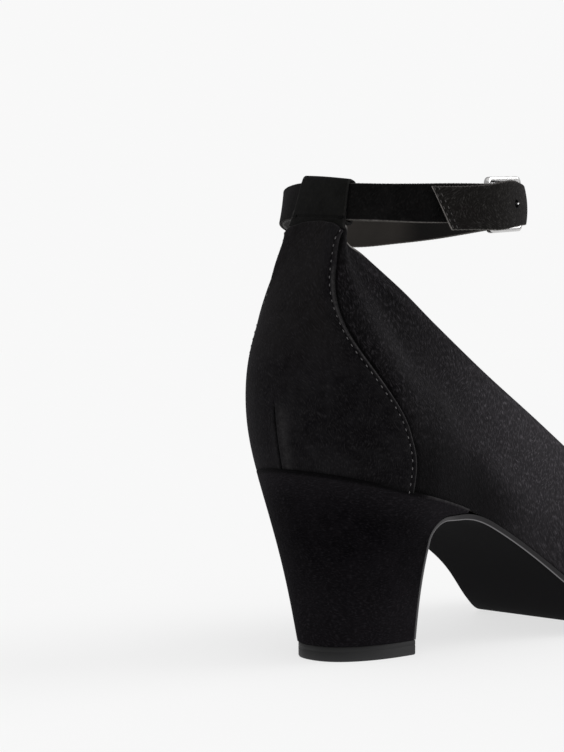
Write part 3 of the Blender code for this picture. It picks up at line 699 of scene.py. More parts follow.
formLine = namedtuple("formLine", "fromAt fromShare toAt toShare width depth")
upperLook = {
    "columns": 620,
    "closeAt": 24.0,
    "closeOver": 7.0,
    "rows": 84,
    "innerRows": 20,
    "footShare": -0.006,
    "skinInner": 0.76,
    "skinOuter": 1.6,
    "liningInner": -0.02,
    "liningOuter": 0.72,
    "liningProud": 0.35,     # how far the lining's edge stands over the suede's
    "hemWidth": 5.0,         # turned-in edge along the topline
    "hemStep": 0.14,
    "edgePress": 0.16,       # groove along the counter's edge
    "wallHeight": 70.0,      # scale for distances up the wall
    "closer": 2.2,
    "evenShare": 0.988,
    "rimShares": (0.9935, 0.997, 1.0),
    "tabFade": (30.0, 8.0),          # start and length of a fade, round the loop from the back
    "rearFade": (68.0, 34.0),        # the shaded foot of the rear quarter
    # painted light: the quarter grows lighter further round from the back and up the wall, less towards the toe
    "lightRise": (42.0, 76.0),
    "toeFade": (135.0, 60.0),
    "toeLess": 0.55,
    "footRise": (0.12, 0.36),        # start and length, as shares of the wall
    "shadeRise": (0.06, 0.28),
    "footLess": (0.40, 0.52),        # less painted light at the foot, and less again at the rear
    # painted highlight along the turned-in hem
    "hemTone": 0.35,
    "rimTone": (0.03, 0.97),         # the topline's cut edge everywhere, with a painted highlight beside the tab
    "underRimTone": 0.9,
    "liningRimTone": (0.08, 0.72),
    # painted shade: a dark line outside the counter's edge, along the foot of the wall and low on the rear quarter
    "counterShade": 0.85,
    "footShade": 0.7,
    "rearShade": 0.8,
    "forms": (               # soft hollows and ridges by distance round the loop and share of the wall
        formLine(46.0, 0.62, 96.0, 0.48, 13.0, -0.55),
        formLine(52.0, 0.30, 120.0, 0.26, 9.0, 0.30),
        formLine(138.0, 0.30, 158.0, 0.86, 6.0, -0.40),
        formLine(152.0, 0.28, 170.0, 0.80, 5.0, 0.28),
        formLine(163.0, 0.30, 180.0, 0.74, 5.0, -0.26),
        formLine(-48.0, 0.60, -98.0, 0.46, 13.0, -0.50),
        formLine(-136.0, 0.32, -154.0, 0.84, 6.0, -0.36),
        formLine(-148.0, 0.30, -166.0, 0.78, 5.0, 0.25),
        formLine(-60.0, 0.22, -112.0, 0.30, 10.0, -0.45),
    ),
}


def upperRelief(at, share):
    # height of the hollows, ridges and the turned-in hem over the plain skin
    at, share = np.broadcast_arrays(np.asarray(at, float), np.asarray(share, float))
    near = fromBack(at)
    rise = share * upperLook["wallHeight"]
    relief = np.zeros(at.shape)
    for form in upperLook["forms"]:
        start = np.array((form.fromAt, form.fromShare * upperLook["wallHeight"]))
        run = np.array((form.toAt, form.toShare * upperLook["wallHeight"])) - start
        part = ((near - start[0]) * run[0] + (rise - start[1]) * run[1]) / (run @ run)
        held = np.clip(part, 0.0, 1.0)
        distance = np.hypot(near - start[0] - held * run[0], rise - start[1] - held * run[1])
        relief += form.depth * bell(distance, form.width)
    height = np.linalg.norm(lastPoints(at, 1.0) - lastPoints(at, share), axis=-1)
    relief *= smoothShare((height - 2.0) / 12.0)     # none of it reaches the topline
    relief += upperLook["hemStep"] * smoothShare((upperLook["hemWidth"] - height) / 1.2)
    return relief


def wallShell(at, shares, innerShares, outside, inside, proud):
    # closed shell: up the outer face, over a rounded rim, down the inner face
    outer = offLast(at[:, None], shares[None], outside)
    inner = offLast(at[:, None], innerShares[None, ::-1], inside)
    out, upWall = lastTangents(at, np.ones(len(at)))
    rimPoint = lastPoints(at, np.ones(len(at))) + proud * upWall
    rimOut = outside[:, -1] if np.ndim(outside) else np.full(len(at), outside)
    middle, half = (rimOut + inside) / 2, (rimOut - inside) / 2
    turn = np.linspace(0.0, math.pi, 9)
    lift = middle[:, None] + half[:, None] * np.cos(turn)
    rise = half[:, None] * np.sin(turn)
    rim = rimPoint[:, None] + lift[..., None] * out[:, None] + rise[..., None] * upWall[:, None]
    skip = 1 if proud < 0.05 else 0
    return np.concatenate((outer, rim[:, skip:len(turn) - skip], inner), axis=1)


def besideCounter(at, share):
    # distance of the upper's places outside the counter's edge
    side = fromBack(at)
    stretch = np.linalg.norm(lastPoints(at + 0.5, share) - lastPoints(at - 0.5, share), axis=-1)
    level = share.ravel()
    reach = np.where(side.ravel() < 0, innerReach(level), counterReach(level)).reshape(share.shape)
    return (np.abs(side) - reach) * stretch


def makeUpper(look):
    # columns lie closer along the counter's edge
    rows = look["rows"]
    fine = np.linspace(0.0, loopLength, 4001)
    density = 1.0 + look["closer"] * bell(np.abs(fromBack(fine)) - look["closeAt"], look["closeOver"])
    run = np.concatenate(([0.0], np.cumsum((density[1:] + density[:-1]) / 2)))
    at = np.interp(np.linspace(0.0, run[-1], look["columns"], endpoint=False), run, fine)
    evenRows = np.linspace(look["footShare"], look["evenShare"], rows - len(look["rimShares"]))
    shares = np.concatenate((evenRows, look["rimShares"]))
    innerShares = np.linspace(look["footShare"], 1.0, look["innerRows"])
    around, level = np.meshgrid(at, shares, indexing="ij")
    beside = besideCounter(around, level)
    outside = look["skinOuter"] + upperRelief(at[:, None], shares[None])
    outside -= look["edgePress"] * bell(beside - 0.3, 0.9)
    skin = wallShell(at, shares, innerShares, outside, look["skinInner"], 0.0)
    aside = np.abs(fromBack(at))[:, None]
    besideTab = 1.0 - ramp(aside, *look["tabFade"])
    lowRear = 1.0 - ramp(aside, *look["rearFade"])
    edge, brushed, sunk = (np.zeros(skin.shape[:2]) for _ in range(3))
    # the topline's cut edge, with a painted highlight beside the tab, also on the row under the rim
    plain, more = look["rimTone"]
    edge[:, rows - 1:rows + 8] = plain + more * besideTab
    edge[:, [rows - 2]] = look["underRimTone"] * besideTab
    # painted light: lighter further round from the back, less low on the wall and towards the toe, with a lighter band
    # along the hem
    plain, more = look["footLess"]
    paintedLight = ramp(aside, *look["lightRise"]) * (1.0 - (plain + more * lowRear) * (1.0 - ramp(level, *look["footRise"])))
    paintedLight *= 1.0 - look["toeLess"] * ramp(aside, *look["toeFade"])
    fromTop = np.linalg.norm(lastPoints(around, 1.0) - lastPoints(around, level), axis=-1)
    hem = smoothShare((look["hemWidth"] + 1.0 - fromTop) / 2.0)
    brushed[:, :rows] = np.maximum(paintedLight, look["hemTone"] * hem * (1.0 - besideTab))
    # painted shade outside the counter's edge, along the foot and low on the rear quarter
    foot = look["footShade"] * bell((level - look["footShare"]) * 80.0, 1.1)
    rear = look["rearShade"] * lowRear * (1.0 - ramp(level, *look["shadeRise"]))
    sunk[:, :rows] = np.maximum(np.maximum(look["counterShade"] * bell(beside - 0.4, 0.85), foot), rear)
    settle(skinPiece("upperSuede", skin, quarterSuede, closedAlong=True, rawEdge=edge, sunk=sunk, brushed=brushed),
           "upper_suede", "upper")
    liningShares = np.linspace(look["footShare"], 1.0, look["innerRows"] + 16)
    lining = wallShell(at, liningShares, liningShares, look["liningOuter"], look["liningInner"], look["liningProud"])
    edge = np.zeros(lining.shape[:2])
    plain, more = look["liningRimTone"]
    edge[:, len(liningShares) - 1:len(liningShares) + 9] = plain + more * besideTab
    settle(skinPiece("upperLining", lining, liningLeather, closedAlong=True, rawEdge=edge), "insole_lining")


# The counter's skin, and the lines of its stitches

def halfRow(reach, share, side, look):
    # distances round the loop from one edge to the middle line, and how far each lies inside the edge
    fine = np.linspace(reach, 0.0, 260) * side
    run = runningLength(offLast(fine, np.full(len(fine), share), look["lift"]))
    inside = np.array(look["edgeSteps"])
    middle = run[-1] - np.array(look["middleSteps"])
    between = np.linspace(inside[-1], middle[0], look["columns"] + 2)[1:-1]
    places = np.concatenate((inside, between, middle))
    return np.interp(places, run, fine), places, run[-1] - places


def roundedEdge(inside, radius):
    near = np.clip(inside / radius, 0.0, 1.0)
    return np.sqrt(1.0 - (1.0 - near) ** 2)


def makeCounter(look):
    fromTop = np.array(look["topSteps"]) / look["height"]
    evenRows = np.linspace(0.0, 1.0 - look["evenEnd"] / look["height"], look["rows"])
    rows = np.concatenate((evenRows, 1.0 - fromTop[::-1]))
    levels = look["footShare"] + (look["topShare"] - look["footShare"]) * rows
    at, share, inside, offMiddle = [], [], [], []
    for row, level, far, farIn in zip(rows, levels, counterReach(levels), innerReach(levels)):
        left = halfRow(far, level, 1.0, look)
        right = halfRow(farIn, level, -1.0, look)
        line = np.concatenate((left[0], right[0][-2::-1]))
        across = np.where(line > 0, line / far, -line / farIn)
        top = look["topShare"] - look["topArch"] * across ** 2.5
        at.append(line)
        share.append(look["footShare"] + (top - look["footShare"]) * row)
        inside.append(np.concatenate((left[1], right[1][-2::-1])))
        offMiddle.append(np.concatenate((left[2], right[2][-2::-1])))
    at, share, inside, offMiddle = (np.stack(x, axis=1) for x in (at, share, inside, offMiddle))
    below = (1.0 - rows)[None] * look["height"]
    full = roundedEdge(inside, look["edgeRound"]) * roundedEdge(below, 0.5)
    puff = look["puff"] * bell(inside - 0.75, 0.4)
    lift = look["edgeLift"] + (look["lift"] - look["edgeLift"]) * full + puff
    lift += look["topProud"] * bell(below, 2.2) * full
    inset = look["stitchInset"] + look["stitchMore"] * (1.0 - ramp(rows, 0.5, 0.25))
    inset = np.where(at > 0, inset, look["innerInset"])
    lift -= look["stitchTrough"] * bell(inside - inset, 0.34)
    height = lastPoints(at, share)[..., 2]
    dart = smoothShare((look["dartTop"] - height) / 5.0)
    lift -= dart * look["dartDepth"] * bell(offMiddle, 0.26)
    lift += dart * look["dartLip"] * bell(offMiddle - 0.9, 0.6)
    for swell in look["swells"]:
        lift += (swell.height * bell(at - swell.at, swell.wide)
                 * bell((share - swell.share) * look["swellScale"], swell.tall))
    outer = offLast(at, share, lift)
    under = offLast(at, share, look["under"])
    points = np.concatenate((outer, under[:, ::-1]), axis=1)
    # painted highlights along the rounded edge, on the top edge and beside the dart
    rim = look["rimTone"] * bell(inside - 0.4, 0.42) * (1.0 - 0.8 * ramp(share, 0.78, 0.10))
    edge = rim + look["topTone"] * bell(below - 0.15, 0.4) + dart * look["dartTone"] * bell(at - 1.6, 1.1)
    # lighter over the upper part of the counter and on its inner side
    brushed = look["brushedTone"] * ramp(share, 0.32, 0.2) * (1.0 - ramp(at, 12.0, 8.0))
    # painted shade in the dart, along the stitch trough and at the foot
    sunk = np.maximum(dart * look["dartShade"] * bell(offMiddle, 0.32), look["stitchShade"] * bell(inside - inset, 0.3))
    sunk = np.maximum(sunk, look["footShade"] * bell((share - look["footShare"]) * look["height"], 1.0))
    edge, sunk, brushed = (np.concatenate((tone, tone * 0.0), axis=1) for tone in (edge, sunk, brushed))
    piece = skinPiece("backCounter", points, counterSuede, ends="seam", rawEdge=edge, sunk=sunk, brushed=brushed)
    settle(piece, "counter_suede", "back_counter")
    out, _ = lastTangents(at, share)
    sewn, half = outer + look["threadProud"] * out, len(outer) // 2
    kept = np.flatnonzero(rows < 1.0 - look["seamEnd"] / look["height"])
    sides = ((inset[0], inside[:half], sewn[:half]), (inset[-1], inside[:half:-1], sewn[:half:-1]))
    return [np.array([[np.interp(wanted[r], places[:, r], spots[:, r, k]) for k in range(3)] for r in kept])
            for wanted, places, spots in sides]


# Stitches: one tree for every sewn line

def stitchTree():
    tree = bpy.data.node_groups.new("sewn line", "GeometryNodeTree")
    tree.interface.new_socket("Path", in_out="INPUT", socket_type="NodeSocketGeometry")
    for label, size in (("Stitch spacing", 0.0026), ("Stitch length", 0.0017), ("Thread radius", 0.0002)):
        tree.interface.new_socket(label, in_out="INPUT", socket_type="NodeSocketFloat").default_value = size
    tree.interface.new_socket("Thread", in_out="INPUT", socket_type="NodeSocketMaterial")
    tree.interface.new_socket("Seed", in_out="INPUT", socket_type="NodeSocketInt").default_value = 3
    tree.interface.new_socket("Stitches", in_out="OUTPUT", socket_type="NodeSocketGeometry")
    given = tree.nodes.new("NodeGroupInput").outputs
    line = addNode(tree, "GeometryNodeMeshToCurve", {"Mesh": given["Path"]})
    spaced = addNode(tree, "GeometryNodeResampleCurve", {"Curve": line.outputs["Curve"],
                                                         "Length": given["Stitch spacing"]}, mode="LENGTH")
    half = addNode(tree, "ShaderNodeMath", {0: given["Stitch length"], 1: 0.5}, operation="MULTIPLY")
    size = addNode(tree, "ShaderNodeCombineXYZ", {0: given["Thread radius"], 1: given["Thread radius"],
                                                 2: half.outputs[0]})
    grain = addNode(tree, "GeometryNodeMeshUVSphere", {"Segments": 8, "Rings": 6, "Radius": 1.0})
    stitch = addNode(tree, "GeometryNodeTransform", {"Geometry": grain.outputs["Mesh"], "Scale": size.outputs[0]})
    lay = addNode(tree, "GeometryNodeInputTangent")
    turn = addNode(tree, "FunctionNodeAlignRotationToVector", {"Vector": lay.outputs[0]}, axis="Z")
    uneven = addNode(tree, "FunctionNodeRandomValue", {"Seed": given["Seed"], 0: (0.85, 0.85, 0.88),
                                                       1: (1.15, 1.15, 1.08)}, data_type="FLOAT_VECTOR")
    sewn = addNode(tree, "GeometryNodeInstanceOnPoints", {
        "Points": spaced.outputs["Curve"], "Instance": stitch.outputs["Geometry"],
        "Rotation": turn.outputs["Rotation"], "Scale": uneven.outputs[0]})
    real = addNode(tree, "GeometryNodeRealizeInstances", {"Geometry": sewn.outputs["Instances"]})
    smooth = addNode(tree, "GeometryNodeSetShadeSmooth", {"Geometry": real.outputs["Geometry"]})
    threaded = addNode(tree, "GeometryNodeSetMaterial", {"Geometry": smooth.outputs["Geometry"],
                                                        "Material": given["Thread"]})
    done = tree.nodes.new("NodeGroupOutput")
    tree.links.new(threaded.outputs["Geometry"], done.inputs["Stitches"])
    return tree


sewnLine = stitchTree()
seams = {                    # millimetres
    "counterStitches": {"spacing": 2.6, "length": 1.0, "radius": 0.19, "seed": 3},
    "loopTacks": {"spacing": 0.5, "length": 0.75, "radius": 0.2, "seed": 5},
    "loopSeam": {"spacing": 2.2, "length": 1.6, "radius": 0.17, "seed": 7},
    "tailStitches": {"spacing": 1.9, "length": 1.1, "radius": 0.17, "seed": 11},
}


def sew(name, paths, thread, slot):
    sizes = seams[name]
    mesh = bpy.data.meshes.new(name)
    points, edges = [], []
    for path in paths:
        start = len(points)
        points += toFrame(path).tolist()
        edges += [(start + i, start + i + 1) for i in range(len(path) - 1)]
    mesh.from_pydata(points, edges, [])
    piece = newObject(name, mesh)
    sewing = piece.modifiers.new("sewn line", "NODES")
    sewing.node_group = sewnLine
    wanted = {"Stitch spacing": sizes["spacing"] * millimetre, "Stitch length": sizes["length"] * millimetre,
              "Thread radius": sizes["radius"] * millimetre, "Thread": thread, "Seed": sizes["seed"]}
    for item in sewnLine.interface.items_tree:
        if item.in_out == "INPUT" and item.name in wanted:
            sewing[item.identifier] = wanted[item.name]
    applyModifiers(piece)
    settle(piece, slot)


# Loop at the top of the tab: a sleeve, and the tongue of its front that runs down behind the counter's edge

loopSizes = {
    "lean": 16.0,
    "tilt": 4.0,             # degrees that the inner side stands higher
    "crownTilt": 0.05,       # further rise of its upper fold to the inner side
    "height": 148.0,
    "half": 11.3,
    "taper": 0.07,
    "wall": 0.9,
    "slotHigh": 6.9,
    "slotDeep": 1.4,
    "slotRound": 0.35,
    "turns": 168,
    "stations": 45,
    "seamHigh": -6.2,        # down the front face from the loop's middle
    "seamDepth": 0.5,
    "edgeRadius": 0.4,
    "tongueTop": -4.0,
    "tongueFoot": -9.6,
    "tongueFlare": 0.055,    # extra width of the tongue's foot
    "swell": 0.16,           # how far its faces bulge
    "rimTones": (0.32, 0.05),        # cut edges of the outer and the inner side
    "tongueTones": (0.3, 0.05),
    "seamShade": 0.85,
    "seamWidth": 0.34,
    "tackRises": (-0.35, 0.0, 0.35),
    "tackRun": (0.93, 0.83),
    "tackProud": 0.06,
    "seamReach": 0.86,
}
ring = {"long": 34.6, "wide": 43.5, "back": 15.7, "shift": -1.0}


def squared(wave, power):
    # below a power of 1, a wave with flatter tops
    return np.sign(wave) * np.abs(wave) ** power


def slotOutline(look):
    # even places round a rounded slot, with their outward directions
    turn = np.linspace(0.0, 2 * math.pi, 8001)[:-1]
    high = look["slotHigh"] * squared(np.cos(turn), look["slotRound"])
    deep = look["slotDeep"] * squared(np.sin(turn), look["slotRound"])
    line = np.stack((np.append(high, high[0]), np.append(deep, deep[0])), axis=1)
    run = runningLength(line)
    wanted = np.linspace(0.0, run[-1], look["turns"], endpoint=False)
    even = np.stack([np.interp(wanted, run, line[:, k]) for k in (0, 1)], axis=1)
    tangent = unit(np.roll(even, -2, axis=0) - np.roll(even, 2, axis=0))
    return even, np.stack((tangent[:, 1], -tangent[:, 0]), axis=1)


def loopPlace(high, deep, station):
    # place by height and depth from the loop's middle and share of its half width
    look, lean = loopSizes, math.radians(loopSizes["lean"])
    y = station * look["half"] * (1.0 - look["taper"] * high / look["slotHigh"])
    hollow = ring["long"] / ring["wide"] ** 2 / 2 * (y - ring["shift"]) ** 2
    crown = look["crownTilt"] * smoothShare((high + 2.0) / (look["slotHigh"] + 2.0))
    level = look["height"] + y * (math.tan(math.radians(look["tilt"])) + crown)
    return np.stack((ring["back"] + hollow + high * math.sin(lean) + deep * math.cos(lean), y,
                     level + high * math.cos(lean) - deep * math.sin(lean)), axis=-1)


def makeLoop(look):
    slot, away = slotOutline(look)
    away *= np.sign((away * slot).sum(axis=1).mean())
    inset = look["edgeRadius"] / look["half"]
    turn = np.linspace(0.0, math.pi, 7)
    outerRun = np.linspace(-1.0 + inset, 1.0 - inset, look["stations"])
    rim = 1.0 - inset + inset * np.sin(turn)
    offset = look["wall"] / 2 * (1.0 + np.cos(turn))
    stations = np.concatenate((outerRun, rim[1:-1], outerRun[::-1], -rim[1:-1]))
    offsets = np.concatenate((np.full(len(outerRun), look["wall"]), offset[1:-1],
                              np.zeros(len(outerRun)), offset[::-1][1:-1]))
    raw = np.concatenate((np.zeros(len(outerRun)), np.full(len(turn) - 2, look["rimTones"][0]),
                          np.zeros(len(outerRun)), np.full(len(turn) - 2, look["rimTones"][1])))
    high, deep = slot[:, [0]], slot[:, [1]]
    crown = look["swell"] * np.cos(stations * math.pi / 2)[None] * (offsets > 0.3)
    proud = offsets[None] + crown
    points = loopPlace(high + away[:, [0]] * proud, deep + away[:, [1]] * proud, stations[None])
    settle(skinPiece("backLoop", points, loopSuede, closedAlong=True, rawEdge=raw[None]),
           "loop_suede", "back_loop")
    makeTongue(look)
    tacks = []
    front = -look["slotDeep"] - look["wall"]
    for side in (-1.0, 1.0):
        for rise in look["tackRises"]:
            run = side * np.linspace(*look["tackRun"], 4)
            tacks.append(loopPlace(np.full(4, look["seamHigh"] + rise), np.full(4, front - look["tackProud"]), run))
    row = np.linspace(-look["seamReach"], look["seamReach"], 40)
    depth = front + look["seamDepth"] - 0.16 - 0.12 * np.cos(row * 1.5)
    return tacks, loopPlace(np.full(len(row), look["seamHigh"]), depth, row)


def makeTongue(look):
    ends = np.array((1.0, 0.985, 0.965, 0.94))
    stations = np.concatenate((-ends, np.linspace(-0.9, 0.9, 41), ends[::-1]))[:, None]
    down = np.linspace(look["tongueTop"], look["tongueFoot"], 70)
    back = np.linspace(look["tongueFoot"] - 0.1, look["tongueTop"] + 0.1, 24)
    step = 0.14 * smoothShare((look["tongueTop"] - 0.2 - down) / 0.8)
    out = look["wall"] - 0.1 + step + look["swell"] * np.cos(stations * math.pi / 2)
    seam = bell(down - look["seamHigh"], look["seamWidth"])
    out = out - look["seamDepth"] * seam * smoothShare((1.0 - np.abs(stations)) / 0.06)
    high = np.concatenate((down, back))[None]
    deep = -look["slotDeep"] - np.concatenate((out, np.full((len(stations), len(back)), 0.05)), axis=1)
    flare = 1.0 + look["tongueFlare"] * smoothShare((look["seamHigh"] - high) / 3.0)
    points = loopPlace(high, deep, np.where(stations > 0, stations * flare, stations))
    raw = np.where(stations > 0, *look["tongueTones"]) * ramp(np.abs(stations), 0.95, 0.04) * np.ones(high.shape)
    # painted shade along the seam's groove
    sunk = np.concatenate((look["seamShade"] * seam, np.zeros(len(back))))[None] * np.ones(stations.shape)
    settle(skinPiece("loopTongue", points, loopSuede, ends="cap", rawEdge=raw, sunk=sunk), "loop_suede")


# Ankle strap: suede outside, lining inside, folded round the rear bar of the buckle

routeRow = namedtuple("routeRow", "angle out height")
strapLine = {
    "width": 12.4,
    "thick": 1.8,
    "tailWidth": 13.7,
    "tailWidens": -236.0,    # degrees on the ring
    "tailFade": 30.0,
    "tailNap": -215.0,       # from here on its nap is rougher
    "ragged": 0.17,          # unevenness of the tail's cut edges
    "rearBar": 82.0,
    "fold": 2.15,
    "foldLead": 2.0,
    "foldEnd": 63.0,
    "tailAngle": -304.6,
    "tailSlant": 4.4,
    "leanEnd": (62.0, 66.0),        # outer and inner side of the loop
    "leanFade": (38.0, 40.0),
    "tailLean": 3.0,
    "curl": 0.7,             # how far the tail's edges turn in over the buckle
    "bulge": 1.6,            # extra width between the buckle's bars
    "holeAngle": 95.0,
    "holeRadius": 1.3,
    "steps": 860,
    "edgeRadius": 0.38,
    "tipRows": (0.7, 2.2),   # sewn rows, measured back from the tip
    "tailAt": -250.0,        # where the tail leans and curls most
    "leanSpread": 25.0,
    "curlSpread": 30.0,
    "bulgeAt": -273.0,
    "bulgeSpread": 11.0,
    "waves": ((3.1, 0.0), (5.3, 2.0), (8.9, 1.0)),   # of the cut edges: rate, and shift over the width
    "layerGap": 0.02,
    "edgeTones": (0.75, 0.2),        # suede and lining
    "upperEdge": 0.3,                # the upper edge catches less light
    "lowerEdge": (1.0, 1.0, 1.0, 0.5, 0.06),         # the lower one is a thin line
    # painted shade on the strap's lining, outside the span below
    "liningShade": 0.9,
    "unshadedSpan": (86.0, 6.0, 152.0, 16.0),           # degrees where the lining is left without painted shade, with soft ends
    "dimSpan": (8.0, 8.0, 104.0, 15.0),              # and where the cut edges are dimmer
    "dimBy": 0.85,
    "threadProud": 0.06,
    "route": (
        routeRow(80.0, 2.15, 146.0), routeRow(62.0, 0.9, 145.9), routeRow(46.0, 0.0, 145.9),
        routeRow(18.0, 0.0, 146.8), routeRow(0.0, 0.0, 147.8), routeRow(-18.0, 0.0, 148.6),
        routeRow(-60.0, -1.2, 147.3), routeRow(-90.0, -0.9, 145.2), routeRow(-120.0, -0.2, 142.7),
        routeRow(-145.0, 0.0, 144.0), routeRow(-165.0, 0.1, 145.3), routeRow(-178.0, 0.2, 146.3),
        routeRow(-195.0, 0.5, 147.3), routeRow(-225.0, 0.9, 147.3), routeRow(-240.0, 1.7, 146.9),
        routeRow(-249.0, 2.5, 146.7), routeRow(-264.0, 3.5, 146.4), routeRow(-282.0, 4.7, 144.7),
        routeRow(-300.0, 3.4, 144.1), routeRow(-318.0, 2.3, 144.4),
    ),
}


def ringFrame(angle):
    turn = np.radians(angle)
    point = np.stack((ring["back"] + ring["long"] * (1.0 - np.cos(turn)),
                      ring["shift"] - ring["wide"] * np.sin(turn)), axis=-1)
    run = unit(np.stack((ring["long"] * np.sin(turn), -ring["wide"] * np.cos(turn)), axis=-1))
    return point, np.stack((run[..., 1], -run[..., 0]), axis=-1), run


def routeValues(angle):
    table = np.array(strapLine["route"])[::-1]
    values = smoothTable(table[:, 0], table[:, 1:], angle)
    return values[:, 0], values[:, 1]


def strapRail(upShare):
    # line along the strap at a share of its width: turned-in end, fold, route; with its outward directions
    line = strapLine
    start = line["rearBar"] - line["foldLead"]
    inside = np.linspace(line["foldEnd"], start, 14)
    point, out, _ = ringFrame(inside)
    bar, barOut, barRun = ringFrame(np.array(line["rearBar"]))
    halfTurn = np.linspace(0.0, math.pi, 26)[:, None]
    turnedIn = point - out * line["fold"]
    fold = bar + line["fold"] * (np.sin(halfTurn) * barRun - np.cos(halfTurn) * barOut)
    angle = np.linspace(start, line["tailAngle"] - line["tailSlant"] * upShare, line["steps"])
    point, out, _ = ringFrame(angle)
    distance, height = routeValues(angle)
    plan = np.concatenate((turnedIn, fold, point + out * distance[:, None]))
    ahead = len(turnedIn) + len(fold)
    heights = np.concatenate((np.full(ahead, line["route"][0].height), height))
    held = [smoothShare((end - np.abs(angle)) / fade) for end, fade in zip(line["leanEnd"], line["leanFade"])]
    tail = angle - line["tailAt"]
    lean = loopSizes["lean"] * np.where(angle > 0, *held) + line["tailLean"] * bell(tail, line["leanSpread"])
    lean = np.concatenate((np.zeros(ahead), np.radians(lean)))
    curl = np.concatenate((np.zeros(ahead), line["curl"] * bell(tail, line["curlSpread"]))) * upShare ** 2
    run = unit(np.gradient(plan, axis=0))
    face = np.stack((run[:, 1], -run[:, 0]), axis=1)
    broad = smoothShare((line["tailWidens"] - angle) / line["tailFade"])
    rough = sum(np.sin(angle * rate + shift * upShare) for rate, shift in line["waves"])
    width = line["width"] + (line["tailWidth"] - line["width"]) * broad + line["ragged"] * rough * (0.3 + 0.7 * broad)
    width += line["bulge"] * bell(angle - line["bulgeAt"], line["bulgeSpread"])
    width = np.concatenate((np.full(ahead, line["width"]), width))
    reach = upShare * width / 2
    level = plan + face * (reach * np.sin(lean) + curl)[:, None]
    middle = np.column_stack((level, heights + reach * np.cos(lean)))
    outward = np.column_stack((-face * np.cos(lean)[:, None], np.sin(lean)))
    nap = smoothShare((line["tailNap"] - angle) / line["tailFade"])
    return middle, outward, np.concatenate((np.zeros(ahead), nap))


def strapBody(name, outside, inside, material, edgeTone, shadeDepth):
    # one layer of the strap, between two distances from its middle
    radius = min(strapLine["edgeRadius"], (outside - inside) / 2)
    inset = radius / (strapLine["width"] / 2)
    turn = np.linspace(0.0, math.pi, 7)
    face = np.linspace(-1.0 + inset, 1.0 - inset, 15)
    rim = 1.0 - inset + inset * np.sin(turn)
    centre, half = (outside + inside) / 2, (outside - inside) / 2
    step = centre + half * np.cos(turn)
    back = np.linspace(1.0 - inset, -1.0 + inset, 7)
    shares = np.concatenate((face, rim[1:-1], back, -rim[1:-1]))
    offsets = np.concatenate((np.full(len(face), outside), step[1:-1], np.full(len(back), inside), step[::-1][1:-1]))
    raw = np.concatenate((np.zeros(len(face)), np.full(len(turn) - 2, strapLine["upperEdge"]),
                          np.zeros(len(back)), strapLine["lowerEdge"])) * edgeTone
    rails = [strapRail(share) for share in shares]
    points = np.stack([rail + offset * out for (rail, out, _), offset in zip(rails, offsets)], axis=1)
    brushed = np.stack([broad for _, _, broad in rails], axis=1)
    raw = np.tile(raw, (len(points), 1))
    raw[-1] = edgeTone
    turns = np.degrees(np.arctan2(ring["shift"] - points[..., 1], ring["back"] + ring["long"] - points[..., 0]))
    # painted shade on the lining outside that span
    shaded = 1.0 - within(-turns, *strapLine["unshadedSpan"])
    raw *= 1.0 - strapLine["dimBy"] * within(-turns, *strapLine["dimSpan"])
    return skinPiece(name, points, material, ends="cap", rawEdge=raw, brushed=brushed, sunk=shaded * shadeDepth)


def punch(piece, cutter):
    cut = piece.modifiers.new("prong hole", "BOOLEAN")
    cut.operation = "DIFFERENCE"
    cut.object = cutter
    applyModifiers(piece)
    shadeSmooth(piece.data, 55.0)


def makeStrap(line):
    half = line["thick"] / 2
    suedeTone, liningTone = line["edgeTones"]
    suede = strapBody("strapSuede", half, 0.0, strapSuedeSkin, suedeTone, 0.0)
    lining = strapBody("strapLining", -line["layerGap"], -half, liningLeather, liningTone, line["liningShade"])
    point, out, _ = ringFrame(np.array(line["holeAngle"]))
    distance, height = routeValues(np.array([line["holeAngle"] - 360.0]))
    centre = np.append(point + out * distance[0], height[0])
    turn = (math.pi / 2, 0.0, math.atan2(out[1], out[0]) + math.pi / 2)
    bpy.ops.mesh.primitive_cylinder_add(vertices=28, radius=line["holeRadius"] * millimetre, depth=0.008,
                                        location=toFrame(centre), rotation=turn)
    cutter = bpy.context.active_object
    cutter.hide_render = True
    punch(suede, cutter)
    punch(lining, cutter)
    bpy.data.objects.remove(cutter, do_unlink=True)
    settle(suede, "strap_suede", "ankle_strap")
    settle(lining, "insole_lining")
    tips = []
    for back in line["tipRows"]:
        row = []
        for share in np.linspace(-0.86, 0.86, 9):
            rail, face, _ = strapRail(share)
            fromTip = rail[::-1]
            run = runningLength(fromTip)
            spot = [np.interp(back, run, fromTip[:, k]) for k in range(3)]
            row.append(np.array(spot) + (half + line["threadProud"]) * face[-1])
        tips.append(np.array(row))
    return tips


# Buckle

buckleLook = {
    "barRadius": 0.95,
    "rearBar": strapLine["rearBar"],
    "frontBar": 118.0,
    "half": 8.0,
    "tilt": 5.0,             # degrees that its front end stands higher
    "rise": 0.6,
    "slack": 0.4,
    "corner": 1.6,
    "prongRadius": 0.6,
    "prongRoot": 6.8,
    "prongBend": 1.3,
    "prongOut": 0.4,
    "squareness": 0.4,      # below 1 the bars are squarer than round
}


def sweep(path, closed, radius, squareness, segments=20):
    # rings of a rounded-square wire along a path
    path = np.asarray(path, float)
    if closed:
        run = np.roll(path, -1, axis=0) - np.roll(path, 1, axis=0)
    else:
        run = np.gradient(path, axis=0)
    run = unit(run)
    flat = np.cross(path[1] - path[0], path[len(path) // 3] - path[0]) if closed else upright
    side = unit(np.cross(run, unit(flat)))
    lift = np.cross(side, run)
    turn = np.linspace(0.0, 2 * math.pi, segments, endpoint=False)
    wide, tall = squared(np.cos(turn), squareness), squared(np.sin(turn), squareness)
    radius = np.broadcast_to(radius, len(path))[:, None, None]
    return path[:, None] + radius * (wide[None, :, None] * side[:, None] + tall[None, :, None] * lift[:, None])


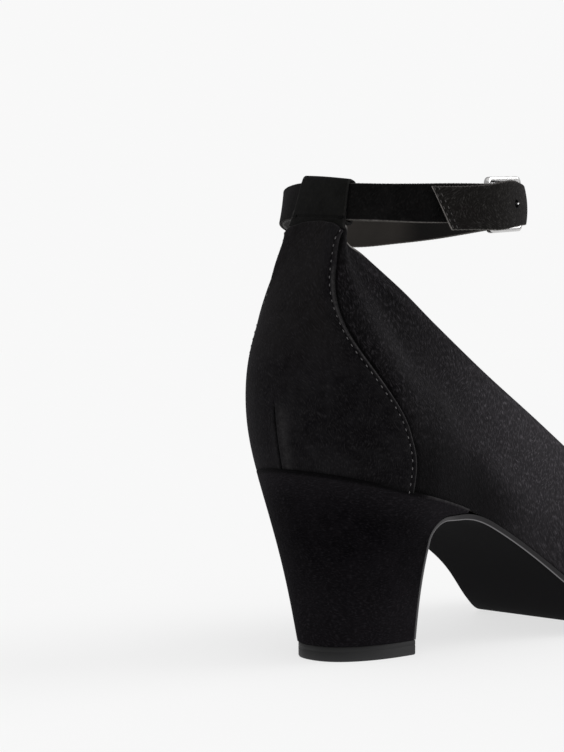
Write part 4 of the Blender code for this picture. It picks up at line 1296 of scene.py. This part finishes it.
def makeBuckle(look):
    rear, _, _ = ringFrame(np.array(look["rearBar"]))
    front, _, _ = ringFrame(np.array(look["frontBar"]))
    length = np.linalg.norm(front - rear)
    run = np.append((front - rear) / length, 0.0)
    centre = np.append((rear + front) / 2, strapLine["route"][0].height + look["rise"]) - look["slack"] * run
    tilt = math.radians(look["tilt"])
    across = math.cos(tilt) * upright - math.sin(tilt) * run
    run = math.cos(tilt) * run + math.sin(tilt) * upright
    corner = look["corner"]
    path = []
    for k, (right, high) in enumerate(((1, 1), (-1, 1), (-1, -1), (1, -1))):
        for turn in np.linspace(0.0, math.pi / 2, 9) + k * math.pi / 2:
            level = right * (length / 2 - corner) + corner * math.cos(turn)
            upAt = high * (look["half"] - corner) + corner * math.sin(turn)
            path.append(centre + level * run + upAt * across)
    rings = sweep(path, True, look["barRadius"], look["squareness"])
    settle(skinPiece("buckleFrame", rings, silverPlate, closedAlong=True), "buckle_silver", "buckle_frame")
    hole = strapLine["holeAngle"]
    straight = np.linspace(look["rearBar"] + look["prongRoot"], hole - look["prongBend"], 12)
    strapOut, strapHeight = routeValues(np.array([hole - 360.0]))
    tip = strapOut[0] + strapLine["thick"] / 2 + look["prongRadius"]
    places = np.concatenate((straight, np.full(6, hole)))
    outs = np.concatenate((np.full(len(straight), look["prongOut"]),
                           np.linspace(look["prongOut"] + look["prongRadius"], tip, 6)))
    point, out, _ = ringFrame(places)
    route = np.column_stack((point + out * outs[:, None], np.full(len(places), strapHeight[0])))
    radius = np.full(len(route), look["prongRadius"])
    radius[-3:] *= (0.97, 0.85, 0.5)
    rings = sweep(route, False, radius, 1.0, 16)
    settle(skinPiece("buckleProng", rings, silverPlate, ends="cap"), "buckle_silver", "buckle_prong")


# Heel, top piece and sole

heelSizes = {
    "wingEnd": 54.0,
    "overhang": 3.2,
    "wingOverhang": 1.9,
    "breastStart": 65.0,
    "archRadius": 34.0,
    "shelfLength": 5.4,      # nearly level run over the breast
    "shelfDrop": 3.0,
    "breastRadius": 7.0,
    "breastSlant": 5.0,
    "flapThick": 1.0,        # the sole down the breast
    "breastJoin": 1.5,
    "floorBack": 9.5,
    "floorHalf": 16.9,
    "floorRound": 0.85,
    "hollow": 0.11,
    "topPiece": 5.0,
    "topInset": 0.3,
    "topStep": 0.2,          # its front behind the sole's flap
    "topSeam": 0.05,
    "points": 151,
    "breastPoints": 40,
    "levels": 70,
    "softEdge": 0.55,
    "lowBrush": 0.55,        # nap brushed up towards the floor and under the seat
    "highBrush": 0.9,
    "grooveShade": 0.9,      # dark line under the counter
    "rimTone": 0.3,          # its upper edge catches light under the quarter
    "topRings": (            # the top piece's height over the floor and inset
        (5.0, 0.25), (4.75, 0.0), (3.4, -0.02), (3.2, 0.08), (3.0, -0.02), (0.5, 0.0), (0.12, 0.18), (0.0, 0.5),
    ),
    "topTone": 0.35,
    "soleRound": 0.4,
    "solePlain": 0.12,       # tone of the sole's cut edge over the light line along its foot
    "soleLine": 0.4,
    "soleLineFade": 0.25,
    "flapRows": 30,
    "flapPaler": 3.0,
}


def breastLine(backOff, count, straights=3):
    # side view of the sole's upper face from the shank over the shelf and down the breast
    sizes = heelSizes
    slope = bottomSlope(sizes["breastStart"])
    left = math.atan2(-slope, -1.0) + math.pi / 2
    level = math.pi / 2 + math.radians(sizes["shelfDrop"])
    slant = math.radians(sizes["breastSlant"])

    def away(turn):
        return np.stack((np.cos(turn), np.sin(turn)), axis=-1)

    start = np.array((sizes["breastStart"], bottomLine(sizes["breastStart"]) - last["gap"] / 2))
    easy = start + sizes["archRadius"] * away(left)
    shelfRun = sizes["shelfLength"] * away(level + math.pi / 2)
    tight = easy + (sizes["archRadius"] - sizes["breastRadius"]) * away(level) + shelfRun
    first = easy + (sizes["archRadius"] + backOff) * away(np.linspace(left - math.pi, level, count // 2))
    bend = tight + (sizes["breastRadius"] + backOff) * away(np.linspace(level, math.pi + slant, count))
    shelf = np.linspace(first[-1], bend[0], count // 2)[1:-1]
    drop = bend[-1, 1] - (sizes["topPiece"] + sizes["topSeam"])
    down = np.array((math.tan(slant), -1.0))
    straight = bend[-1] + down * drop * np.linspace(0.0, 1.0, straights + 1)[1:, None]
    return np.concatenate((first, shelf, bend, straight))


def heelBow(share):
    return share + heelSizes["hollow"] * np.sin(math.pi * share)


def floorOutline(count, front, inset):
    sizes = heelSizes
    turn = np.linspace(-math.pi / 2, math.pi / 2, count)
    length = front - sizes["floorBack"] - inset
    x = front - length * np.cos(turn).clip(0.0) ** sizes["floorRound"]
    y = (sizes["floorHalf"] - inset) * np.sign(turn) * np.abs(np.sin(turn)) ** sizes["floorRound"]
    return x, y


def seatOutline(count):
    sizes = heelSizes
    reach = np.linspace(0.0, 90.0, 400)
    first = np.interp(sizes["wingEnd"], roundLoop(reach)[:, 0], reach)
    final = np.interp(sizes["wingEnd"], roundLoop(-reach)[:, 0], reach)
    at = np.linspace(first, -final, count)
    foot = roundLoop(at)[:, :3]
    share = smoothShare(foot[:, 0] / sizes["wingEnd"])
    overhang = sizes["overhang"] + (sizes["wingOverhang"] - sizes["overhang"]) * share
    edge = foot + overhang[:, None] * planNormals(at, 0, last["featherSpread"])
    return edge[:, 0], edge[:, 1]


def heelCornerHalf(height, side):
    sizes = heelSizes
    x, y = seatOutline(31)
    seatHalf = abs(y[0] if side < 0 else y[-1])
    top = bottomLine(x[0]) - last["gap"] / 2
    share = np.clip((top - height) / (top - sizes["topPiece"] - sizes["topSeam"]), 0.0, 1.0)
    return seatHalf + (sizes["floorHalf"] - seatHalf) * heelBow(share)


def softenEdges(piece, width):
    bevel = piece.modifiers.new("soft edge", "BEVEL")
    bevel.width = width * millimetre
    bevel.segments = 4
    bevel.limit_method = "ANGLE"
    bevel.angle_limit = math.radians(40.0)
    bevel.harden_normals = False
    applyModifiers(piece)
    shadeSmooth(piece.data, 60.0)


def makeHeel(sizes):
    seatX, seatY = seatOutline(sizes["points"])
    floorX, floorY = floorOutline(sizes["points"], breastLine(last["gap"], 4)[-1, 0], 0.0)
    seatZ = bottomLine(seatX) - last["gap"] / 2
    floorZ = sizes["topPiece"] + sizes["topSeam"]
    front = breastLine(last["gap"], 60, 40)
    front = front[front[:, 0] < seatX[0]]
    front = np.concatenate(([(seatX[0], seatZ[0])], front))
    front[-1, 1] = floorZ
    run = runningLength(front)
    wanted = np.linspace(0.0, run[-1], sizes["levels"])
    front = np.stack([np.interp(wanted, run, front[:, k]) for k in (0, 1)], axis=1)
    seatShare = (seatX - seatX.min()) / (seatX[0] - seatX.min())
    floorShare = (floorX - floorX.min()) / (floorX[0] - floorX.min())
    rings, brushed, groove = [], [], []
    for frontX, frontZ in front:
        down = (seatZ[0] - frontZ) / (seatZ[0] - floorZ)
        high = smoothShare((0.24 - down) / 0.24)
        brushed.append(sizes["lowBrush"] * ramp(down, 0.35, 0.5) + sizes["highBrush"] * high)
        groove.append(sizes["grooveShade"] * smoothShare((0.032 - down) / 0.02))
        inward = heelBow(down)
        backX = seatX.min() + (floorX.min() - seatX.min()) * inward
        share = seatShare + (floorShare - seatShare) * inward
        plainX = seatX[0] + (floorX[0] - seatX[0]) * inward
        arc = np.stack((backX + (plainX - backX) * share - (plainX - frontX) * share ** 3,
                        seatY + (floorY - seatY) * inward, seatZ + (floorZ - seatZ) * down), axis=1)
        ends = np.linspace(arc[-1], arc[0], sizes["breastPoints"])[1:-1]
        rings.append(np.concatenate((arc, ends)))
    rings = np.array(rings)
    edge = np.zeros(rings.shape[:2])
    edge[0] = sizes["rimTone"] * ramp(rings[0, :, 0], 30.0, 5.0)
    sunk = np.array(groove)[:, None] * (1.0 - ramp(rings[..., 0], 28.0, 5.0))
    heel = skinPiece("heelCover", rings, heelSuede, ends="cap", crease=40.0, rawEdge=edge, sunk=sunk,
                     brushed=np.array(brushed)[:, None])
    softenEdges(heel, sizes["softEdge"])
    settle(heel, "heel_suede", "heel_block")


def makeTopPiece(sizes):
    front = breastLine(-sizes["flapThick"], 4)[-1, 0] - sizes["topStep"]
    rings, tone = [], []
    for height, inset in sizes["topRings"]:
        x, y = floorOutline(sizes["points"], front - inset, sizes["topInset"] + inset)
        ends = np.stack((np.full(28, x[0]), np.linspace(y[-1], y[0], 30)[1:-1]), axis=1)
        level = np.concatenate((np.stack((x, y), axis=1), ends))
        rings.append(np.column_stack((level, np.full(len(level), height))))
        tone.append(sizes["topTone"] if 0.05 < height < 0.6 else 0.0)
    edge = np.tile(np.array(tone)[:, None], (1, len(rings[0])))
    piece = skinPiece("topPiece", rings, topRubber, ends="cap", rawEdge=edge, crease=60.0)
    settle(piece, "top_rubber", "top_piece")


def soleLoop(topOuter, topInner, underInner, underOuter, radius):
    # rounded section through four corners, and the share of its band that is cut edge
    across, thick = np.linalg.norm(topInner - topOuter), np.linalg.norm(underOuter - topOuter)
    stepA, stepB = min(radius / max(across, 1e-6), 0.49), min(radius / thick, 0.49)
    turn = np.linspace(0.0, math.pi / 2, 5)
    a, b = [], []
    for cornerA, cornerB, start in ((stepA, stepB, math.pi), (1 - stepA, stepB, 1.5 * math.pi),
                                    (1 - stepA, 1 - stepB, 0.0), (stepA, 1 - stepB, 0.5 * math.pi)):
        a += list(cornerA + stepA * np.cos(start + turn))
        b += list(cornerB + stepB * np.sin(start + turn))
        if start in (1.0 * math.pi, 0.0):
            goal = 1 - stepA if start else stepA
            a += list(np.linspace(a[-1], goal, 14)[1:-1])
            b += [b[-1]] * 12
    a, b = np.array(a)[:, None], np.array(b)[:, None]
    points = ((1 - a) * (1 - b) * topOuter + a * (1 - b) * topInner + a * b * underInner + (1 - a) * b * underOuter)
    side = np.minimum(a, 1 - a)[:, 0] * across
    low = (1.0 - b[:, 0]) * thick
    light = smoothShare((heelSizes["soleLine"] - low) / heelSizes["soleLineFade"])
    plain = heelSizes["solePlain"]
    return points, np.where(side < radius * 0.75, plain + (1.0 - plain) * light, 0.0)


def edgePair(section, overhang):
    # matching places of the feather line on the outer and inner side, at a section number
    order = np.arange(len(knots))
    outerAt = np.interp(section, order, knots)
    innerAt = np.interp(len(loopRows) - section, order, knots)
    return [roundLoop(at)[:, :3] + overhang * planNormals(at, 0, last["featherSpread"]) for at in (outerAt, innerAt)]


def toePairs(overhang, fromAlong, count):
    fine = np.linspace(0.02, toeSection, 4000)
    outer, inner = edgePair(fine, overhang)
    start = fine[np.argmax(np.minimum(outer[:, 0], inner[:, 0]) > fromAlong)]
    share = np.sin(np.linspace(0.0, math.pi / 2, count))
    return edgePair(start + (toeSection - start) * share, overhang)


def makeSole(sizes):
    outer, inner = toePairs(sizes["wingOverhang"], sizes["breastStart"] + sizes["breastJoin"], 150)
    rings, tones = [], []
    for edges in list(zip(outer, inner))[::-1]:
        topFace, lowFace = [], []
        for x, y, _ in edges:
            slope = bottomSlope(x)
            shank = smoothShare((last["treadStart"] - x) / last["shankFade"])
            thick = last["soleThick"] + (last["shankThick"] - last["soleThick"]) * shank
            point = np.array((x, y, bottomLine(x) - last["gap"] / 2))
            topFace.append(point)
            lowFace.append(point + thick * np.array((slope, 0.0, -1.0)) / math.hypot(slope, 1.0))
        ring, tone = soleLoop(topFace[0], topFace[1], lowFace[1], lowFace[0], sizes["soleRound"])
        rings.append(ring)
        tones.append(tone)
    count = sizes["flapRows"]
    topLine, lowLine = (breastLine(backOff, count, count) for backOff in (0.0, -last["shankThick"]))
    thinning = smoothShare(np.arange(len(topLine)) / (len(topLine) - count - 1))[:, None]
    lowLine = topLine + (lowLine - topLine) * (1.0 + (sizes["flapThick"] / last["shankThick"] - 1.0) * thinning)
    lowLine[:, 1] = np.maximum(lowLine[:, 1], sizes["topPiece"] + sizes["topSeam"])
    for (x, z), (lowX, lowZ), down in zip(topLine, lowLine, thinning[:, 0]):
        shank = np.clip((x - sizes["wingEnd"]) / (outer[0][0] - sizes["wingEnd"]), 0.0, 1.0)
        outerY = -heelCornerHalf(z, -1) * (1.0 - shank) + outer[0][1] * shank
        innerY = heelCornerHalf(z, 1) * (1.0 - shank) + inner[0][1] * shank
        ring, tone = soleLoop(np.array((x, outerY, z)), np.array((x, innerY, z)),
                              np.array((lowX, innerY, lowZ)), np.array((lowX, outerY, lowZ)), sizes["soleRound"])
        rings.append(ring)
        tones.append(np.minimum(tone * (1.0 + sizes["flapPaler"] * down), 1.0))
    piece = skinPiece("soleAndFlap", np.array(rings), soleResin, ends="cap", rawEdge=np.array(tones))
    settle(piece, "sole_grey", "outsole")


insoleLook = {"thick": 1.9, "play": 0.35, "stations": 200, "edgeRound": 0.7, "edgeTone": 0.3}


def makeInsole(look):
    outer, inner = toePairs(-look["play"], 1.0, look["stations"])
    rings, tones = [], []
    for edges in zip(outer, inner):
        low = [np.array((x, y, bottomLine(x) + last["gap"] / 2)) for x, y, _ in edges]
        high = [point + look["thick"] * upright for point in low]
        ring, tone = soleLoop(high[0], high[1], low[1], low[0], look["edgeRound"])
        rings.append(ring)
        tones.append(tone * look["edgeTone"])
    piece = skinPiece("insoleSock", np.array(rings), liningLeather, ends="cap", rawEdge=np.array(tones))
    settle(piece, "insole_lining", "insole")


makeUpper(upperLook)
counterPaths = makeCounter(counterLook)
sew("counterStitches", counterPaths, seamThread, "counter_suede")
tacks, seamRow = makeLoop(loopSizes)
sew("loopTacks", tacks, tackThread, "loop_suede")
sew("loopSeam", [seamRow], tackThread, "loop_suede")
tipRows = makeStrap(strapLine)
sew("tailStitches", tipRows, tailThread, "strap_suede")
makeBuckle(buckleLook)
makeHeel(heelSizes)
makeTopPiece(heelSizes)
makeSole(heelSizes)
makeInsole(insoleLook)
print("pieces in place")


# Floor, light and camera

studio = {
    "paper": 0.94,           # what the camera sees of floor and background
    "glow": 0.74,            # share of the floor's light that is its own
    "worldLight": 0.50,
    "suns": (                # direction towards the light, strength, spread in degrees
        ((0.85, -0.45, 0.45), 1.5, 40.0),
        ((-0.10, -0.20, 0.97), 0.7, 80.0),
    ),
    "floorReach": 60.0,      # metres
    "weaveScale": 30.0,
    "weave": (0.998, 1.002),
    "cameraBack": 569.0,     # millimetres from the counter's foot
    "cameraTurn": 46.0,
    "cameraHeight": 99.8,
    "cameraAim": 2.9,        # the point it turns about, behind the seat's back
    "horizonRow": 350.0,
    "focalPixels": 1800.0,
    "imageHigh": 752.0,
}


def makeStudio(look):
    scene = bpy.context.scene
    scene.view_settings.view_transform = "Standard"
    light = look["worldLight"]
    for index, (towards, strength, spread) in enumerate(look["suns"]):
        sun = bpy.data.lights.new(f"softbox{index}", "SUN")
        sun.energy = strength
        sun.angle = math.radians(spread)
        lamp = newObject(f"softbox{index}", sun)
        lamp.rotation_mode = "QUATERNION"
        direction = Vector(towards).normalized()
        lamp.rotation_quaternion = direction.to_track_quat("Z", "Y")
        light += strength * direction.z / math.pi
    world = bpy.data.worlds.new("studio")
    world.use_nodes = True
    tree = world.node_tree
    tree.nodes.clear()
    rays = addNode(tree, "ShaderNodeLightPath").outputs["Is Camera Ray"]
    white = opaque((1.0,) * 3)
    around, behind = (addNode(tree, "ShaderNodeBackground", {"Color": white, "Strength": look[level]}).outputs[0]
                      for level in ("worldLight", "paper"))
    mixed = addNode(tree, "ShaderNodeMixShader", {0: rays, 1: around, 2: behind})
    addNode(tree, "ShaderNodeOutputWorld", {"Surface": mixed.outputs[0]})
    scene.world = world
    mesh = bpy.data.meshes.new("paperFloor")
    reach = look["floorReach"]
    corners = [(x * reach, y * reach, 0.0) for x, y in ((-1, -1), (1, -1), (1, 1), (-1, 1))]
    mesh.from_pydata(corners, [], [(0, 1, 2, 3)])
    paper, tree, shader = newFinish("floor paper")
    shade = look["paper"] * (1.0 - look["glow"]) / light
    weave = noiseOf(tree, placeOf(tree), look["weaveScale"])
    feed(tree, shader, {
        "Base Color": tintOf(tree, weave, *((shade * share,) * 3 for share in look["weave"])),
        "Roughness": 1.0,
        "Specular IOR Level": 0.0,
        "Emission Color": white,
        "Emission Strength": look["paper"] * look["glow"],
    })
    mesh.materials.append(paper)
    floor = newObject("paperFloor", mesh)
    print("floor shade", round(shade, 3))


def makeCamera(look):
    lens = bpy.data.cameras.new("photo view")
    lens.sensor_width = 36.0
    lens.lens = look["focalPixels"] / look["imageHigh"] * lens.sensor_width
    camera = newObject("photo view", lens)
    turn = math.radians(look["cameraTurn"])
    drop = math.atan((look["imageHigh"] / 2 - look["horizonRow"]) / look["focalPixels"])
    eye = toFrame((-look["cameraAim"] - look["cameraBack"] * math.cos(turn),
                   -look["cameraBack"] * math.sin(turn), look["cameraHeight"]))
    camera.location = eye
    aim = Vector((math.cos(turn) * math.cos(drop), math.sin(turn) * math.cos(drop), -math.sin(drop)))
    camera.rotation_mode = "QUATERNION"
    camera.rotation_quaternion = aim.to_track_quat("-Z", "Y")
    bpy.context.scene.camera = camera


makeStudio(studio)
makeCamera(studio)
